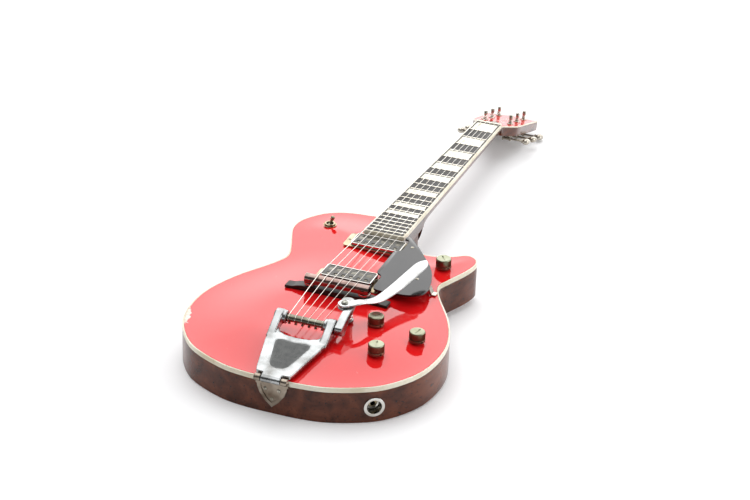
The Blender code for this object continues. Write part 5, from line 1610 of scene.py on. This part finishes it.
# ---- knobs and potentiometers --------------------------------------------------------------------
# Four turned and plated brass knobs with knurled sides and a small engraved pointer on a domed top.
# Each is held on its potentiometer's shaft by a set screw in its side.
knob_top = plated("knob_nickel", (0.33, 0.345, 0.245), (0.25, 0.25, 0.16), 0.24, 0.42, 0.6, 55.0)
# The knurled sides and skirt get a darker brown copy of the knob metal: partly the plating's aged colour, partly
# painted shade for the dim front that the sides face and mirror.
knob_side_brass_and_shade = plated("knob_side_brass_and_painted_shade", (0.27, 0.19, 0.13), (0.12, 0.075, 0.05), 0.26, 0.5, 0.5, 80.0)
pot_steel = plated("pot_steel", (0.60, 0.59, 0.56), (0.44, 0.42, 0.38), 0.28, 0.5, 0.8, 70.0)
for number, (name, (x, y)) in enumerate(KNOBS.items()):
    skin = height_over(x, y, 10.5)
    low = skin + 1.0
    high = low + 13.5
    stand = Matrix.Translation((x, y, 0))
    crown = eased([(0, high - 1.15), (3.0, high - 1.0), (8.2, high - 0.1), (9.0, high - 0.15),
                   (9.7, high - 1.0),
                   (9.7, low + 3.0), (0, low + 3.0)], 0.5, 3)
    cap_piece = piece("cap_" + name, turned(crown, 72), knob_top, stand)
    arrow = [(0, 7.2), (-1.5, 3.6), (-0.45, 3.9), (-0.45, -5.5), (0.45, -5.5), (0.45, 3.9), (1.5, 3.6)]
    carve(cap_piece, [piece("pointer", prism(arrow, high - 1.6, high + 1), None,
                            stand @ Matrix.Rotation(radians(-40 + 25 * number), 4, "Z"))])
    skirt = eased([(0, low + 3.6), (10.45, low + 3.6), (10.45, low), (3.0, low), (3.0, skin - 16),
                   (0, skin - 16)], 0.3, 2)
    skirt_piece = piece("skirt", turned(skirt, 72), knob_side_brass_and_shade, stand)
    ridge = prism([(-0.3, -0.34), (0.5, 0), (-0.3, 0.34)], low + 3.9, high - 1.3)
    knurl = ribbed("knurl", ridge, 72, 9.7, knob_side_brass_and_shade, stand)
    set_hole = piece("hole", turned([(0, 14), (1.3, 14), (1.3, 6), (0, 6)], 16), None,
                     Matrix.Translation((x, y, low + 1.9)) @ Matrix.Rotation(radians(-35), 4, "Z")
                     @ Matrix.Rotation(pi / 2, 4, "Y"))
    carve(skirt_piece, [set_hole])
    merged(cap_piece, skirt_piece, knurl)
    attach(cap_piece, name + "_knob")
    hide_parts(name + "_knob")
    pot = bpy.data.objects[name + "_pot"]
    pot.data.materials.clear()
    pot.data.materials.append(pot_steel)

# ---- toggle switch -------------------------------------------------------------------------------
# A three-way switch under the top: a knurled nut and washer clamp its threaded bush, and the lever is a
# waisted metal bat with a rounded tip.
sx, sy = SWITCH
switch_skin = height_over(sx, sy, 9.0)
at_switch = Matrix.Translation((sx, sy, switch_skin))
washer = eased([(9, 0.9), (9, 0.3), (5, 0.3), (5, 0.9)], 0.2, 2, closed=True)
nut_ring = eased([(7.2, 2.9), (7.2, 0.9), (5, 0.9), (5, 2.9)], 0.35, 2, closed=True)
under_ring = [(6, 0.3), (6, CORE_TOP - 0.3 - switch_skin), (11, CORE_TOP - 0.3 - switch_skin),
              (11, CORE_TOP - 22 - switch_skin), (5, CORE_TOP - 22 - switch_skin), (5, 0.3)]
collar = piece("switch_nut", turned(washer, 48), flange_nickel, at_switch)
ridge = prism([(-0.3, -0.36), (0.4, 0), (-0.3, 0.36)], 1.15, 2.65)
merged(collar, piece("nut", turned(nut_ring, 48), flange_nickel, at_switch),
       piece("can", turned(under_ring, 40), pot_steel, at_switch),
       ribbed("knurl", ridge, 48, 7.2, flange_nickel, at_switch))
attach(collar, "root")
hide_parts("switch_body")
bat_profile = [(0, 15), (1.1, 14.85), (2.2, 14.3), (2.85, 13.3), (3.0, 12.2), (2.7, 10.2), (2.0, 7.6),
               (1.6, 5.2), (1.5, 2.4),
               (2.2, 2.0), (3.0, 1.2), (3.3, 0.2), (3.3, -0.7), (2.4, -2.4), (1.5, -3), (1.5, -9), (0, -9)]
bat = piece("switch_bat", turned(bat_profile, 40), knob_top,
            at_switch @ Matrix.Rotation(radians(18), 4, "Y"))
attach(bat, "switch_lever")
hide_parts("switch_lever")

# ---- output jack ---------------------------------------------------------------------------------
# A chromed cup is pressed into the side near the tail, with a threaded socket and its nut at the bottom.
cup_profile = eased([(13, 1.5), (13, 0.3), (10.5, 0.3), (10.5, -13), (5.2, -13), (5.2, -11.8),
                     (9.2, -11.6), (9.2, 1.5)],
                    0.4, 3, closed=True)
cup = piece("jack_ferrule", turned(cup_profile, 64), chrome, jack_place)
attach(cup, "root")
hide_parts("jack_cup")
thread = [(3.2, -8.2)]
for k in range(9):
    thread += [(4.75, -8.3 - k * 0.5), (4.4, -8.55 - k * 0.5)]
thread += [(4.75, -13.3), (7.5, -13.3), (7.5, -26), (3.2, -26)]
socket = piece("jack_barrel", turned(thread, 40), flange_nickel, jack_place)
six = [(7.0 * cos(pi * k / 3), 7.0 * sin(pi * k / 3)) for k in range(6)]
jack_nut = piece("nut", prism(six, -11.5, -9.9, 0.3, 2), screw_metal, jack_place)
carve(jack_nut, [piece("bore", turned([(0, 0), (4.6, 0), (4.6, -20), (0, -20)], 32), None, jack_place)])
merged(socket, jack_nut)
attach(socket, "root")
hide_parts("jack_socket")

# ---- back covers and truss rod -------------------------------------------------------------------
# Two black plastic covers are let into the back over the controls and the switch, held by small screws.
cover_screws = []
for node_name, loop, spots in (
        ("control_cover", control_cover_loop, [(60, -60), (60, -120), (142, -60), (142, -120)]),
        ("switch_cover", switch_cover_loop, [(-84, 199), (-102.5, 167.5), (-65.5, 167.5)])):
    plate = piece(node_name + "_plate", prism(inset(loop, 0.3), 0.3, 2.3, 0.3, 2, rims=("low",)),
                  black_plastic)
    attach(plate, "root")
    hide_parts(node_name)
    cover_screws += [((x, y, 0.35), (0, 0, -1)) for x, y in spots]
scattered("cover_screws", slotted_screw(1.8, 0.3, 0.5), cover_screws, screw_metal, "root", seed=17)
bpy.data.objects["truss_rod"].data.materials.clear()
bpy.data.objects["truss_rod"].data.materials.append(pot_steel)
